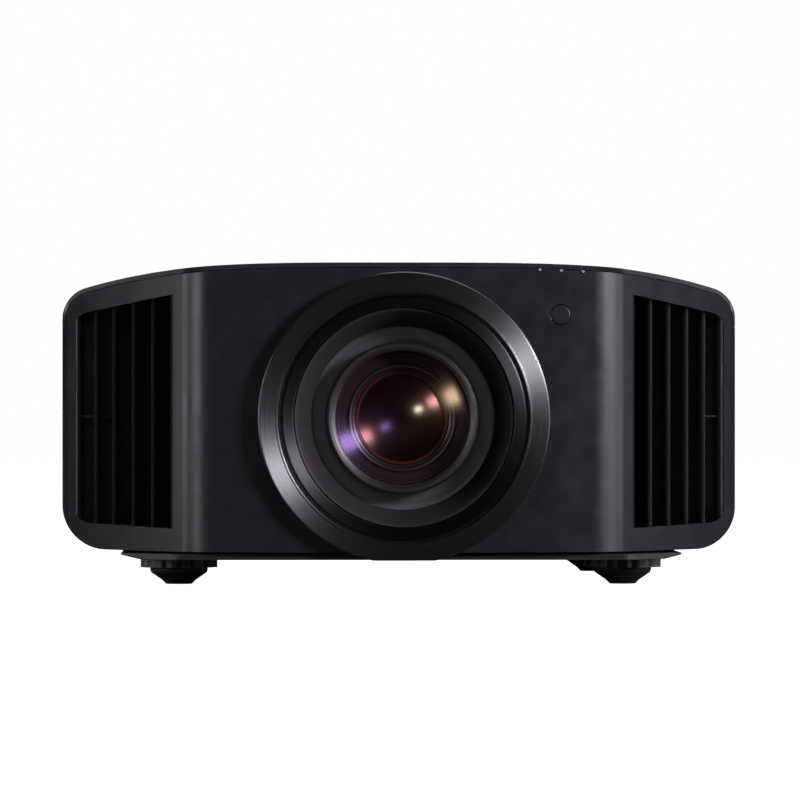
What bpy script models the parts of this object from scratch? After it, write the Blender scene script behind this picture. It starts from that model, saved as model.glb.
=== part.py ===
"""Home projector: a hollow case on four screw feet, with a motor-shifted zoom lens in its middle.

Frame: metres, +Z up, the lens looks along -Y, +X is to the right of someone facing the lens.
The origin is on the floor under the middle of the case.
"""
import math

import bmesh
import bpy
from mathutils import Euler, Matrix, Vector

GAP = 0.0003                    # running gap between pieces that meet
SMOOTH_ANGLE = math.radians(35)

# Case, as seen from the front
HALF_WIDTH = 0.250
TOP_Z = 0.234
SHOULDER_Z = 0.189              # the cover's front lip starts here
CROWN_FALL = 3.668              # the crown falls by CROWN_FALL * x ** CROWN_POWER from its middle
CROWN_POWER = 3.7
CROWN_R = 0.024                 # rounding between the crown and the side wall
ARCH_STEPS = 9
CROWN_CORNER_STEPS = 6
CORNER_Z = 0.058                # the side wall ends here and the bottom corner starts
CORNER_R = 0.033
BOTTOM_Z = 0.0239
PAN_Z = 0.0187                  # underside of the base pan
PAN_THICK = 0.0022
PAN_HALF = 0.2055
PAN_RISE = 0.0031               # the pan's sides rise by this over PAN_SLOPE
PAN_SLOPE = 0.0146
PAN_FRONT_Y = -0.2405
PAN_CORNER = 0.040
STUD_TOP_Z = 0.0400
INSIDE_Z = PAN_Z + PAN_THICK + GAP

# Case, as seen from above
PANEL_Y = -0.247                # flat middle of the front panel
FLAT_HALF = 0.105
WING_X = 0.151                  # the front turns into the swept wings here
WING_Y = -0.2445
SIDE_Y = -0.138                 # a wing's line meets the side here
SPLIT_Y = -0.122                # joint between the front panel and the cases behind it
REAR_Y = 0.259
REAR_CORNER_R = 0.002
COVER_SIDE = 0.0017             # thickness of the cover at the sides
COVER_TOP = 0.0035              # and under the crown
WALL = 0.003

# Vents
CHEEK_X = 0.1395                # the cheek starts to roll inwards here
CHEEK_R = 0.030
CHEEK_TURN = math.radians(77)
DUCT_X = CHEEK_X + CHEEK_R * math.sin(CHEEK_TURN)   # inner wall of the air duct
VENT_X = 0.2410                 # outer wall of the duct at its mouth
VENT_BACK_X = 0.2350            # and behind its flared lip
FLARE_Y = (-0.1500, -0.1350)
VENT_CORNER_R = 0.0125
FIN_XS = (0.1826, 0.1972, 0.2117, 0.2254)
FIN_BACK_Y = -0.130
FIN_RECESS = 0.007
RIB_Z = 0.123
RIB_RECESS = 0.016
SCREEN_THICK = 0.0025

# Lens: radii, and depths measured forward from the front panel's flat middle
LENS_Z = 0.1216
BEZEL_R = 0.1053
BEZEL_PROUD = 0.012
BEZEL_DISH = 0.0010             # fall of its face towards the lens
HOLE_R = 0.0895
BARREL_R = 0.0552
TUBE_R = 0.0530
GLASS_R = 0.0487
GLASS_CROWN = -0.0100           # the front glass's middle
GLASS_SAG = 0.0120
RING_PITCH_R = 0.0624
RING_TEETH = 40
PINION_TEETH = 10
PINION_PITCH_R = RING_PITCH_R * PINION_TEETH / RING_TEETH
DRIVE_DISTANCE = RING_PITCH_R + PINION_PITCH_R
FOCUS_ANGLE = math.radians(30)
ZOOM_ANGLE = math.radians(150)
RING_STEPS = 56
LENS_STEPS = 40
RING_FRONTS = {"focus": -0.173, "zoom": -0.147}
RING_DEPTH = 0.012
FLANGE_DEPTH = 0.130            # the lens tube's flange, behind the panel

# Front trim
IR_X = 0.1136
IR_Z = 0.1962
IR_R = 0.0072
LED_XS = (0.0986, 0.1140, 0.1298)
LED_HALF = 0.0011

# Lens shift stage
ROD_X = 0.105
ROD_R = 0.003
CROSS_ROD_DZ = 0.0665
STAGE_Y = -0.096                # plane of the upright rods
CROSS_Y = -0.107                # plane of the level rods
SCREW_X = 0.088
SCREW_LOW_Z = 0.0406
LEVEL_SCREW_X = 0.020
LEVEL_SCREW_DZ = -0.0555

# Feet
FOOT_X = 0.163
FOOT_YS = {"front": -0.177, "rear": 0.175}
DIAL_R = 0.0282
DIAL_LOW = 0.0122
DIAL_LOBES = 12
DIAL_GROOVE = 0.0013
SHAFT_R = 0.006
SHAFT_PLAY = 0.0005

# Inside the case
BLOCK_NEAR = 0.085
BLOCK_FAR = 0.189
FAN_X = 0.190
FAN_Y = -0.118
FAN_Z = 0.125
FAN_DEPTH = 0.025
FAN_HALF = 0.046
FAN_BLADES = 5

# Rear
REAR_PANEL_Y = 0.2515
SOCKETS = {                     # middle x, z, outer width and height, depth and wall
    "hdmi_socket_1": (-0.100, 0.0480, 0.0170, 0.0085, 0.0120, 0.0013),
    "hdmi_socket_2": (-0.070, 0.0480, 0.0170, 0.0085, 0.0120, 0.0013),
    "lan_socket": (-0.035, 0.0500, 0.0165, 0.0140, 0.0150, 0.0022),
    "serial_socket": (0.008, 0.0500, 0.0310, 0.0130, 0.0110, 0.0024),
    "mains_inlet": (0.095, 0.0560, 0.0300, 0.0220, 0.0200, 0.0026),
}
MAINS_PINS = ((-0.007, -0.002), (0.0, 0.002), (0.007, -0.002))
BUTTONS = {
    "power_button": (-0.110, 0.160),
    "input_button": (-0.085, 0.160),
    "menu_button": (-0.060, 0.160),
    "back_button": (-0.035, 0.160),
    "ok_button": (-0.010, 0.160),
}
BUTTON_R = 0.0050
BUTTON_FRONT_Y = 0.2558
FILTER = (0.1510, 0.0710, 0.2310, 0.1990)
SLOT_WIDTH = 0.0055
SLOT_COUNT = 8

COLOURS = {
    "case": ((0.020, 0.020, 0.023), 0.38, 0.0),
    "pan": ((0.013, 0.013, 0.014), 0.55, 0.3),
    "grille": ((0.010, 0.010, 0.011), 0.45, 0.0),
    "trim": ((0.030, 0.030, 0.033), 0.32, 0.6),
    "dark": ((0.008, 0.008, 0.009), 0.5, 0.0),
    "glass": ((0.05, 0.03, 0.05), 0.05, 0.0),
    "lamp": ((0.30, 0.30, 0.32), 0.3, 0.0),
    "rubber": ((0.012, 0.012, 0.012), 0.8, 0.0),
    "alloy": ((0.55, 0.56, 0.58), 0.35, 1.0),
    "steel": ((0.60, 0.60, 0.60), 0.3, 1.0),
    "brass": ((0.75, 0.55, 0.25), 0.3, 1.0),
    "board": ((0.02, 0.12, 0.05), 0.5, 0.0),
    "socket": ((0.40, 0.40, 0.42), 0.3, 1.0),
    "gear": ((0.75, 0.74, 0.70), 0.5, 0.0),
}

for old in list(bpy.data.objects):
    bpy.data.objects.remove(old, do_unlink=True)

PARTS = bpy.data.collections.new("home_projector")
CUTTERS = bpy.data.collections.new("cutters")
bpy.context.scene.collection.children.link(PARTS)
bpy.context.scene.collection.children.link(CUTTERS)

AXIS_TURN = {
    "X": Euler((math.pi / 2, 0, math.pi / 2)),
    "Y": Euler((math.pi / 2, 0, 0)),
    "Z": Euler((0, 0, 0)),
}


# ---------------------------------------------------------------- helpers

def material(name):
    """One material for each sub-part, in one of the object's colours."""
    colour, roughness, metallic = COLOURS[name]
    made = bpy.data.materials.new(name)
    made.use_nodes = True
    shader = made.node_tree.nodes["Principled BSDF"]
    shader.inputs["Base Color"].default_value = (*colour, 1.0)
    shader.inputs["Roughness"].default_value = roughness
    shader.inputs["Metallic"].default_value = metallic
    return made


def add(name, mesh, colour):
    """A piece of the object, or a cutter when it has no colour."""
    made = bpy.data.objects.new(name, mesh)
    if colour is None:
        CUTTERS.objects.link(made)
        made.hide_render = True
        made.display_type = "WIRE"
    else:
        PARTS.objects.link(made)
        mesh.materials.append(material(colour))
    return made


def clean(mesh):
    """Welds a mesh and turns its faces outwards."""
    work = bmesh.new()
    work.from_mesh(mesh)
    bmesh.ops.remove_doubles(work, verts=work.verts, dist=0.000005)
    bmesh.ops.recalc_face_normals(work, faces=work.faces)
    work.to_mesh(mesh)
    work.free()


def shade(mesh):
    """Smooth shading over the round faces, with the real edges kept sharp."""
    mesh.shade_smooth()
    mesh.set_sharp_from_angle(angle=SMOOTH_ANGLE)


def prism(name, outlines, axis, low, high, colour=None):
    """A flat outline, with holes for any further outlines, drawn out along an axis.

    The outline's two numbers are (x, y) for Z, (x, z) for Y and (y, z) for X.
    """
    curve = bpy.data.curves.new(name, "CURVE")
    curve.dimensions = "2D"
    curve.fill_mode = "BOTH"
    curve.extrude = (high - low) / 2
    for outline in outlines:
        spline = curve.splines.new("POLY")
        spline.points.add(len(outline) - 1)
        spline.use_cyclic_u = True
        for point, (a, b) in zip(spline.points, outline):
            point.co = (a, b, 0, 1)
    guide = bpy.data.objects.new(name, curve)
    CUTTERS.objects.link(guide)
    bpy.context.view_layer.update()
    evaluated = guide.evaluated_get(bpy.context.evaluated_depsgraph_get())
    mesh = bpy.data.meshes.new_from_object(evaluated)
    bpy.data.objects.remove(guide)
    bpy.data.curves.remove(curve)
    mesh.materials.clear()
    middle = (low + high) / 2
    place = {"X": Vector((middle, 0, 0)), "Y": Vector((0, middle, 0)), "Z": Vector((0, 0, middle))}[axis]
    mesh.transform(Matrix.Translation(place) @ AXIS_TURN[axis].to_matrix().to_4x4())
    clean(mesh)
    shade(mesh)
    return add(name, mesh, colour)


def box(name, low, high, colour=None):
    """A block between two corners."""
    mesh = bpy.data.meshes.new(name)
    work = bmesh.new()
    bmesh.ops.create_cube(work, size=1.0)
    size = Vector(high) - Vector(low)
    centre = (Vector(high) + Vector(low)) / 2
    bmesh.ops.scale(work, vec=size, verts=work.verts)
    bmesh.ops.translate(work, vec=centre, verts=work.verts)
    work.to_mesh(mesh)
    work.free()
    return add(name, mesh, colour)


def cylinder(name, start, end, radius, steps, colour=None):
    """A round bar between two points."""
    along = Vector(end) - Vector(start)
    turn = Vector((0, 0, 1)).rotation_difference(along).to_matrix().to_4x4()
    place = Matrix.Translation((Vector(start) + Vector(end)) / 2)
    mesh = bpy.data.meshes.new(name)
    work = bmesh.new()
    bmesh.ops.create_cone(work, cap_ends=True, segments=steps, radius1=radius, radius2=radius,
                          depth=along.length, matrix=place @ turn)
    work.to_mesh(mesh)
    work.free()
    shade(mesh)
    return add(name, mesh, colour)


def turned(name, profile, centre, axis, steps, colour=None, closed=True):
    """A profile of (radius, height) points turned about an axis through centre.

    Height runs up for Z, and forward, towards -Y, for Y. An open profile starts and ends on the
    axis, from its top to its bottom.
    """
    area = 0.0
    for (r0, h0), (r1, h1) in zip(profile, profile[1:] + profile[:1]):
        area += r0 * h1 - r1 * h0
    points = list(profile)
    if closed and area > 0:
        points.reverse()
    count = len(points)
    edges = [(i, i + 1) for i in range(count - 1)]
    if closed:
        edges.append((count - 1, 0))
    mesh = bpy.data.meshes.new(name)
    mesh.from_pydata([(r, 0, h) for r, h in points], edges, [])
    piece = add(name, mesh, colour)
    piece.location = centre
    piece.rotation_euler = AXIS_TURN[axis]
    screw = piece.modifiers.new("turn", "SCREW")
    screw.axis = "Z"
    screw.steps = steps
    screw.render_steps = steps
    screw.use_merge_vertices = True
    screw.merge_threshold = 0.00001
    screw.use_smooth_shade = True
    return piece


def combine(piece, operation, *others):
    """Booleans a piece with cutters, in their order."""
    for other in others:
        step = piece.modifiers.new(operation.lower(), "BOOLEAN")
        step.operation = operation
        step.solver = "EXACT"
        step.object = other
    return piece


def cut(piece, *others):
    return combine(piece, "DIFFERENCE", *others)


def join(piece, *others):
    return combine(piece, "UNION", *others)


def keep(piece, *others):
    return combine(piece, "INTERSECT", *others)


def on_axis(piece, point):
    """Moves a piece's origin to a point on its joint's axis, leaving its shape in place."""
    piece.data.transform(Matrix.Translation(piece.location - Vector(point)))
    piece.location = point
    return piece


def circle(x, z, radius, steps):
    """A round outline."""
    return [(x + radius * math.cos(math.tau * i / steps), z + radius * math.sin(math.tau * i / steps))
            for i in range(steps)]


def rectangle(x0, z0, x1, z1):
    """A rectangular outline."""
    return [(x0, z0), (x1, z0), (x1, z1), (x0, z1)]


def arc(x, z, radius, start, end, steps):
    """Points along an arc, from one angle to another."""
    return [(x + radius * math.cos(start + (end - start) * i / steps),
             z + radius * math.sin(start + (end - start) * i / steps)) for i in range(steps + 1)]


def rounded(corners, steps=6, closed=True):
    """An outline of (a, b, radius) corners with its corners rounded."""
    points = []
    count = len(corners)
    for i, (a, b, radius) in enumerate(corners):
        here = Vector((a, b))
        if radius == 0 or (not closed and i in (0, count - 1)):
            points.append((a, b))
            continue
        before = (Vector(corners[i - 1][:2]) - here).normalized()
        after = (Vector(corners[(i + 1) % count][:2]) - here).normalized()
        half = before.angle(after) / 2
        centre = here + (before + after).normalized() * (radius / math.sin(half))
        start = here + before * (radius / math.tan(half)) - centre
        end = here + after * (radius / math.tan(half)) - centre
        turn = start.angle_signed(end)
        for k in range(steps + 1):
            spoke = start.copy()
            spoke.rotate(Matrix.Rotation(-turn * k / steps, 2))
            points.append(tuple(centre + spoke))
    return points


def mirrored(points, side):
    """The same outline on the side with the sign of side."""
    return [(side * a, b) for a, b in points]


# ---------------------------------------------------------------- outlines of the case

def crown_z(x, top):
    """Height of the crown over a point."""
    return TOP_Z - top - CROWN_FALL * abs(x) ** CROWN_POWER


def crown(side, top):
    """The crowned top from right to left, drawn in by side at the walls and top under the crown."""
    radius = CROWN_R - side
    middle_x = HALF_WIDTH - CROWN_R
    x = middle_x
    for _ in range(20):
        lean = math.atan(CROWN_FALL * CROWN_POWER * x ** (CROWN_POWER - 1))
        x = middle_x + radius * math.sin(lean)
    middle_z = crown_z(x, top) - radius * math.cos(lean)
    half = [(HALF_WIDTH - side, SHOULDER_Z)]
    half += arc(middle_x, middle_z, radius, 0, math.pi / 2 - lean, CROWN_CORNER_STEPS)
    for i in range(1, ARCH_STEPS):
        along = x * (1 - (i / ARCH_STEPS) ** 1.3)
        half.append((along, crown_z(along, top)))
    return half + [(0, TOP_Z - top)] + mirrored(half[::-1], -1)


def bottom(inset, with_pan):
    """The lower corners and the bottom, from left to right."""
    half = HALF_WIDTH - inset
    radius = CORNER_R - inset
    left = arc(-half + radius, CORNER_Z, radius, math.pi, 1.5 * math.pi, 6)
    right = arc(half - radius, CORNER_Z, radius, 1.5 * math.pi, 2 * math.pi, 6)
    if not with_pan:
        return left + [(0, BOTTOM_Z + inset)] + right
    keel = [(PAN_HALF - inset, CORNER_Z - radius)] + pan_side(inset)
    return left + mirrored(keel, -1) + keel[::-1] + right


def pan_side(inset):
    """The pan's lifted side, from its edge to its flat underside."""
    edge = PAN_HALF - inset
    return [(edge, PAN_Z + PAN_RISE + inset), (edge - PAN_SLOPE, PAN_Z + inset)]


def front_line():
    """The front of the case in plan, from left to right."""
    half = [(FLAT_HALF, PANEL_Y, 0.5), (WING_X, WING_Y, 0.035), (HALF_WIDTH, SIDE_Y, 0.018)]
    left = [(-x, y, r) for x, y, r in reversed(half)]
    return rounded([(-HALF_WIDTH, 0, 0)] + left + half + [(HALF_WIDTH, 0, 0)], closed=False)


def plan(back_y, corner):
    """The whole case in plan."""
    rear = rounded([(HALF_WIDTH, 0, 0), (HALF_WIDTH, back_y, corner), (-HALF_WIDTH, back_y, corner),
                    (-HALF_WIDTH, 0, 0)], closed=False)
    return front_line() + rear[1:-1]


def wing_y(x):
    """Depth of a wing's face over a point."""
    return WING_Y + (abs(x) - WING_X) * (SIDE_Y - WING_Y) / (HALF_WIDTH - WING_X)


def cheek(offset):
    """The rolled cheek in plan, moved into its material by offset."""
    start_y = PANEL_Y + 0.0018
    radius = CHEEK_R - offset
    return arc(CHEEK_X, start_y + CHEEK_R, radius, -math.pi / 2, -math.pi / 2 + CHEEK_TURN, 8)


def vent_outline(inset):
    """A vent's opening as seen from the front, on the +X side."""
    round_r = VENT_CORNER_R - inset
    return rounded([(0.1380 + inset, 0.0400 + inset, 0), (VENT_X - inset, 0.0448 + inset, round_r),
                    (VENT_X - inset, 0.1975 - inset, round_r), (0.209, 0.2038 - inset, 0),
                    (DUCT_X, 0.2110 - inset, 0), (0.1380 + inset, 0.2140 - inset, 0)], steps=4)


def duct_plan(inset):
    """The straight part of a vent's duct in plan, behind its mouth, on the +X side."""
    return [(DUCT_X + inset, -0.30), (VENT_X - inset, -0.30), (VENT_X - inset, FLARE_Y[0]),
            (VENT_BACK_X - inset, FLARE_Y[1]), (VENT_BACK_X - inset, SPLIT_Y + 0.01),
            (DUCT_X + inset, SPLIT_Y + 0.01)]


# ---------------------------------------------------------------- case

def shaft_hole(name, x, y, top_z):
    """The hole that a foot's stud slides in."""
    return cylinder(name, (x, y, 0), (x, y, top_z), SHAFT_R + SHAFT_PLAY, 16)


def build_front_panel():
    """The moulded front: a flat middle, rolled cheeks, and swept wings that frame the vents."""
    upper = crown(COVER_SIDE + GAP, COVER_TOP + GAP)
    low_edge = SHOULDER_Z - GAP
    outline = [(HALF_WIDTH, low_edge), (upper[0][0], low_edge)] + upper[1:-1]
    outline += [(upper[-1][0], low_edge), (-HALF_WIDTH, low_edge)] + bottom(0, False)
    panel = prism("front_panel", [outline], "Y", -0.30, SPLIT_Y, "case")
    keep(panel, prism("front_plan", [plan(0.0, 0)], "Z", 0.0, 0.25))
    right = cheek(WALL)
    right += [(DUCT_X - WALL, SPLIT_Y + 0.01)]
    front = [(-FLAT_HALF, PANEL_Y + WALL), (FLAT_HALF, PANEL_Y + WALL)]
    hollow_plan = mirrored(right, -1)[::-1] + front + right
    hollow = prism("panel_hollow", [hollow_plan], "Z", BOTTOM_Z + WALL, TOP_Z - COVER_TOP - 2 * WALL)
    cut(panel, hollow)
    for side, tag in ((-1, "left"), (1, "right")):
        face = [(CHEEK_X - 0.002, -0.30), (CHEEK_X - 0.002, PANEL_Y + 0.0018)] + cheek(0)
        way = face + duct_plan(0)[:0:-1]
        duct = prism("duct_" + tag, [mirrored(way, side)], "Z", 0.0, 0.25)
        keep(duct, prism("vent_shape_" + tag, [mirrored(vent_outline(0), side)], "Y", -0.31, -0.10))
        cut(panel, duct)
        cut(panel, shaft_hole("front_boss_" + tag, side * FOOT_X, FOOT_YS["front"], STUD_TOP_Z + SHAFT_PLAY))
    lens_hole = prism("lens_hole", [circle(0, LENS_Z, HOLE_R, RING_STEPS)], "Y", -0.30, PANEL_Y + 0.02)
    window_hole = prism("window_hole", [circle(IR_X, IR_Z, IR_R + 0.0004, 24)], "Y", -0.30, PANEL_Y + 0.02)
    cut(panel, lens_hole, window_hole)
    for i, x in enumerate(LED_XS):
        top_z = crown_z(x, COVER_TOP)
        low = (x - LED_HALF - 0.0004, -0.26, top_z - 0.0023)
        cut(panel, box("led_notch_%d" % i, low, (x + LED_HALF + 0.0004, -0.2436, top_z + 0.002)))
    return panel


def build_top_cover():
    """The crowned cover: the top over the whole depth, and the sides behind the front panel."""
    lower = CORNER_Z + GAP
    outer = [(HALF_WIDTH, lower)] + crown(0, 0) + [(-HALF_WIDTH, lower)]
    inner_half = HALF_WIDTH - COVER_SIDE
    inner = [(-inner_half, lower)] + crown(COVER_SIDE, COVER_TOP)[::-1] + [(inner_half, lower)]
    cover = prism("top_cover", [outer + inner], "Y", -0.30, 0.30, "case")
    keep(cover, prism("cover_plan", [plan(REAR_Y, REAR_CORNER_R)], "Z", 0.0, 0.25))
    cut(cover, box("cover_front_cut", (-0.26, -0.31, 0.0), (0.26, SPLIT_Y + GAP, SHOULDER_Z)))
    return cover


def build_base_pan():
    """The tray under the case, with a thin plate that reaches forward under the front panel."""
    outer = bottom(0, True)
    inner = bottom(PAN_THICK, True)
    pan = prism("base_pan", [outer + inner[::-1]], "Y", SPLIT_Y + GAP, REAR_Y, "pan")
    keep(pan, prism("pan_plan", [plan(REAR_Y, REAR_CORNER_R)], "Z", 0.0, 0.25))
    edge = PAN_HALF - 0.0003
    side = [(edge - PAN_CORNER, PAN_FRONT_Y, 0.012), (edge, PAN_FRONT_Y + PAN_CORNER, 0.012),
            (edge, SPLIT_Y + 0.008, 0)]
    other_side = [(-x, y, r) for x, y, r in reversed(side)]
    plate = prism("pan_plate", [rounded(other_side + side, steps=4)], "Z", PAN_Z + 0.0001, BOTTOM_Z - 0.0008)
    reach = 0.010
    grade = PAN_RISE / PAN_SLOPE
    lift = [(edge - PAN_SLOPE - reach, PAN_Z - grade * reach),
            (edge + reach, PAN_Z + PAN_RISE + grade * reach), (edge + reach, 0.05)]
    keep(plate, prism("pan_lift", [mirrored(lift[::-1], -1) + lift], "Y", -0.30, 0.0))
    join(pan, plate)
    for end, y in FOOT_YS.items():
        for side, tag in ((-1, "left"), (1, "right")):
            cut(pan, shaft_hole("pan_hole_%s_%s" % (end, tag), side * FOOT_X, y, 0.05))
    return pan


def slots(x0, x1, z0, z1):
    """Upright slots spread evenly between two sides."""
    pitch = (x1 - x0 - SLOT_WIDTH) / (SLOT_COUNT - 1)
    return [rectangle(x0 + pitch * i, z0, x0 + pitch * i + SLOT_WIDTH, z1) for i in range(SLOT_COUNT)]


def build_rear_panel():
    """The flat rear wall with its air slots and the holes for sockets, buttons and filter."""
    inset = PAN_THICK + 0.0004
    outline = crown(inset, COVER_TOP + 0.0005) + bottom(inset, True)
    holes = slots(-0.228, -0.152, 0.075, 0.195)
    play = GAP + 0.0002
    holes.append(rectangle(FILTER[0] - play, FILTER[1] - play, FILTER[2] + play, FILTER[3] + play))
    for x, z, width, height, _, _ in SOCKETS.values():
        wide, tall = width / 2 + play, height / 2 + play
        holes.append(rectangle(x - wide, z - tall, x + wide, z + tall))
    for x, z in BUTTONS.values():
        holes.append(circle(x, z, BUTTON_R + GAP, 20))
    return prism("rear_panel", [outline] + holes, "Y", REAR_PANEL_Y, REAR_PANEL_Y + WALL, "case")


def build_vent_grille(side, tag):
    """Four upright fins that follow the wing's sweep and a level rib, on the fine screen behind them."""
    play = GAP + 0.0001
    outline = mirrored(vent_outline(play), side)
    grille = prism("vent_grille_" + tag, [outline], "Y", FIN_BACK_Y - SCREEN_THICK, FIN_BACK_Y, "grille")
    shape = prism("fin_shape_" + tag, [mirrored(duct_plan(play), side)], "Z", 0.0, 0.25)
    keep(shape, prism("fin_height_" + tag, [outline], "Y", -0.28, -0.06))
    for i, x in enumerate(FIN_XS):
        nose = wing_y(x) + FIN_RECESS
        blade = [(x, nose), (x, FIN_BACK_Y - 0.001), (x - 0.0016, FIN_BACK_Y - 0.001),
                 (x - 0.0030, nose + 0.008), (x - 0.0034, nose + 0.0035), (x - 0.0022, nose + 0.0009)]
        join(grille, prism("fin_%s_%d" % (tag, i), [mirrored(blade, side)], "Z", 0.030, 0.225))
    near, far = wing_y(DUCT_X) + RIB_RECESS, wing_y(VENT_X) + RIB_RECESS
    rib_line = [(DUCT_X, near), (VENT_X, far), (VENT_X, far + 0.004), (DUCT_X, near + 0.004)]
    join(grille, prism("rib_" + tag, [mirrored(rib_line, side)], "Z", RIB_Z - 0.001, RIB_Z + 0.001))
    keep(grille, shape)


# ---------------------------------------------------------------- front trim


def build_front_trim():
    """The lens bezel, the rings inside it, the infrared window and the status lamps."""
    centre = (0, PANEL_Y, LENS_Z)
    proud = BEZEL_PROUD
    face = proud - BEZEL_DISH
    bezel = turned("lens_bezel", [(BEZEL_R, GAP), (BEZEL_R, proud - 0.0016), (BEZEL_R - 0.0005, proud - 0.0005),
                                  (BEZEL_R - 0.0016, proud), (0.0927, face), (0.0913, face), (0.0913, 0.0075),
                                  (0.0886, 0.0075), (0.0886, GAP)], centre, "Y", RING_STEPS, "trim")
    cut(bezel, box("bezel_flat", (-0.12, -0.27, 0.0), (0.12, -0.24, PAN_Z)))
    turned("bezel_inner_ring", [(0.0883, -0.0040), (0.0883, 0.0095), (0.0872, 0.0105), (0.0800, 0.0085),
                                (0.0795, 0.0075), (0.0795, -0.0040)], centre, "Y", RING_STEPS, "trim")
    turned("lens_recess_cone", [(0.0792, -0.0020), (0.0792, 0.0065), (0.0786, 0.0070), (0.0775, 0.0060),
                                (0.0667, -0.0240), (0.0667, -0.0265), (0.0700, -0.0265)],
           centre, "Y", RING_STEPS, "dark")
    cylinder("ir_window", (IR_X, PANEL_Y, IR_Z), (IR_X, PANEL_Y + 0.004, IR_Z), IR_R, 24, "dark")
    for x, tag in zip(LED_XS, ("left", "middle", "right")):
        top_z = crown_z(x, COVER_TOP)
        low = (x - LED_HALF, PANEL_Y - 0.0002, top_z - 0.0019)
        box("led_" + tag, low, (x + LED_HALF, -0.2440, top_z - GAP), "lamp")


def dial_rim():
    """A round outline with grooves for the fingers."""
    rim = []
    steps = 4 * DIAL_LOBES
    for i in range(steps):
        radius = DIAL_R - (DIAL_GROOVE if i % 4 >= 2 else 0.0)
        rim.append((radius * math.cos(math.tau * i / steps), radius * math.sin(math.tau * i / steps)))
    return rim


def build_feet():
    """Four screw feet: a cone with a stud, and the grooved dial that turns round it."""
    for end, y in FOOT_YS.items():
        for side, tag in ((-1, "left"), (1, "right")):
            place = (side * FOOT_X, y, 0)
            turned("foot_stud_%s_%s" % (end, tag),
                   [(0, STUD_TOP_Z), (SHAFT_R, STUD_TOP_Z), (SHAFT_R, DIAL_LOW - GAP),
                    (0.0213, DIAL_LOW - GAP), (0.0200, 0.0085), (0.0125, 0.0028), (0.0103, 0.0008), (0.0092, 0), (0, 0)],
                   place, "Z", 20, "rubber", closed=False)
            dial = prism("foot_dial_%s_%s" % (end, tag), [dial_rim(), circle(0, 0, SHAFT_R + SHAFT_PLAY, 16)],
                         "Z", DIAL_LOW, PAN_Z - GAP, "rubber")
            dial.location = place


# ---------------------------------------------------------------- lens

def gear_outline(pitch_r, teeth, phase):
    """A ring of stub teeth, with room to spare between them."""
    points = []
    step = math.tau / teeth
    root, tip = pitch_r - 0.0016, pitch_r + 0.0012
    wide, narrow = 0.0022 / pitch_r, 0.0012 / pitch_r
    for i in range(teeth):
        middle = phase + step * i
        for radius, angle in ((root, -wide), (tip, -narrow), (tip, narrow), (root, wide)):
            points.append((radius * math.cos(middle + angle), radius * math.sin(middle + angle)))
    return points


def build_drive(tag, angle):
    """A ring gear on the lens tube, the pinion that turns it, and the pinion's motor."""
    centre = Vector((0, 0, LENS_Z))
    ring_front = RING_FRONTS[tag]
    ring_back = ring_front + RING_DEPTH
    motor_back = PANEL_Y + FLANGE_DEPTH - GAP
    step = math.tau / RING_TEETH
    phase = angle - round(angle / step) * step
    outlines = [gear_outline(RING_PITCH_R, RING_TEETH, phase), circle(0, 0, TUBE_R + GAP, LENS_STEPS)]
    ring = prism(tag + "_ring", outlines, "Y", ring_front, ring_back, "gear")
    ring.location = centre
    spot = centre + Vector((math.cos(angle), 0, math.sin(angle))) * DRIVE_DISTANCE
    facing = angle + math.pi + math.pi / PINION_TEETH
    pinion = prism(tag + "_pinion", [gear_outline(PINION_PITCH_R, PINION_TEETH, facing)], "Y",
                   ring_front, ring_back, "brass")
    pinion.location = spot
    cylinder(tag + "_motor", (spot.x, ring_back + GAP, spot.z), (spot.x, motor_back, spot.z), 0.010, 20,
             "alloy")


def build_lens():
    """Everything that looks out of the bezel and shifts with the carriages."""
    centre = (0, PANEL_Y, LENS_Z)
    trough = arc(0.0650, -0.0290, 0.0065, 0, -math.pi / 2, 3)
    turned("lens_shroud", [(0.0820, -0.0275), (0.0725, -0.0275)] + trough
           + [(0.0556, -0.0355), (0.0556, -0.0385), (0.0655, -0.0385), (0.0745, -0.0300), (0.0820, -0.0300)],
           centre, "Y", LENS_STEPS, "dark")
    turned("focus_barrel", [(0.0505, -0.0160), (0.0545, -0.0160), (BARREL_R, -0.0168), (BARREL_R, -0.0660),
                            (0.0490, -0.0660), (0.0490, -0.0185)], centre, "Y", LENS_STEPS, "dark")
    dome = []
    for i in range(6):
        share = i / 5
        dome.append((GLASS_R * share, GLASS_CROWN - GLASS_SAG * share ** 2))
    turned("front_glass", dome + [(GLASS_R, -0.0300), (0.0, -0.0260)], centre, "Y", LENS_STEPS, "glass",
           closed=False)
    turned("lens_barrel", [(0.0486, -0.0580), (0.0486, -0.0690), (TUBE_R, -0.0690), (TUBE_R, -0.1300),
                           (0.0860, -0.1300), (0.0860, -0.1360), (TUBE_R, -0.1360), (TUBE_R, -0.1900),
                           (0.0450, -0.1900), (0.0450, -0.0580)], centre, "Y", LENS_STEPS, "dark")
    turned("zoom_cell", [(0.0447, -0.0800), (0.0447, -0.0950), (0.0350, -0.0950), (0.0323, -0.0900),
                         (0.0323, -0.0800)], centre, "Y", LENS_STEPS, "dark")
    turned("zoom_glass", [(0.0, -0.0795), (0.0180, -0.0810), (0.0319, -0.0850), (0.0319, -0.0890),
                          (0.0, -0.0870)], centre, "Y", 36, "glass", closed=False)
    build_drive("focus", FOCUS_ANGLE)
    build_drive("zoom", ZOOM_ANGLE)


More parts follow.
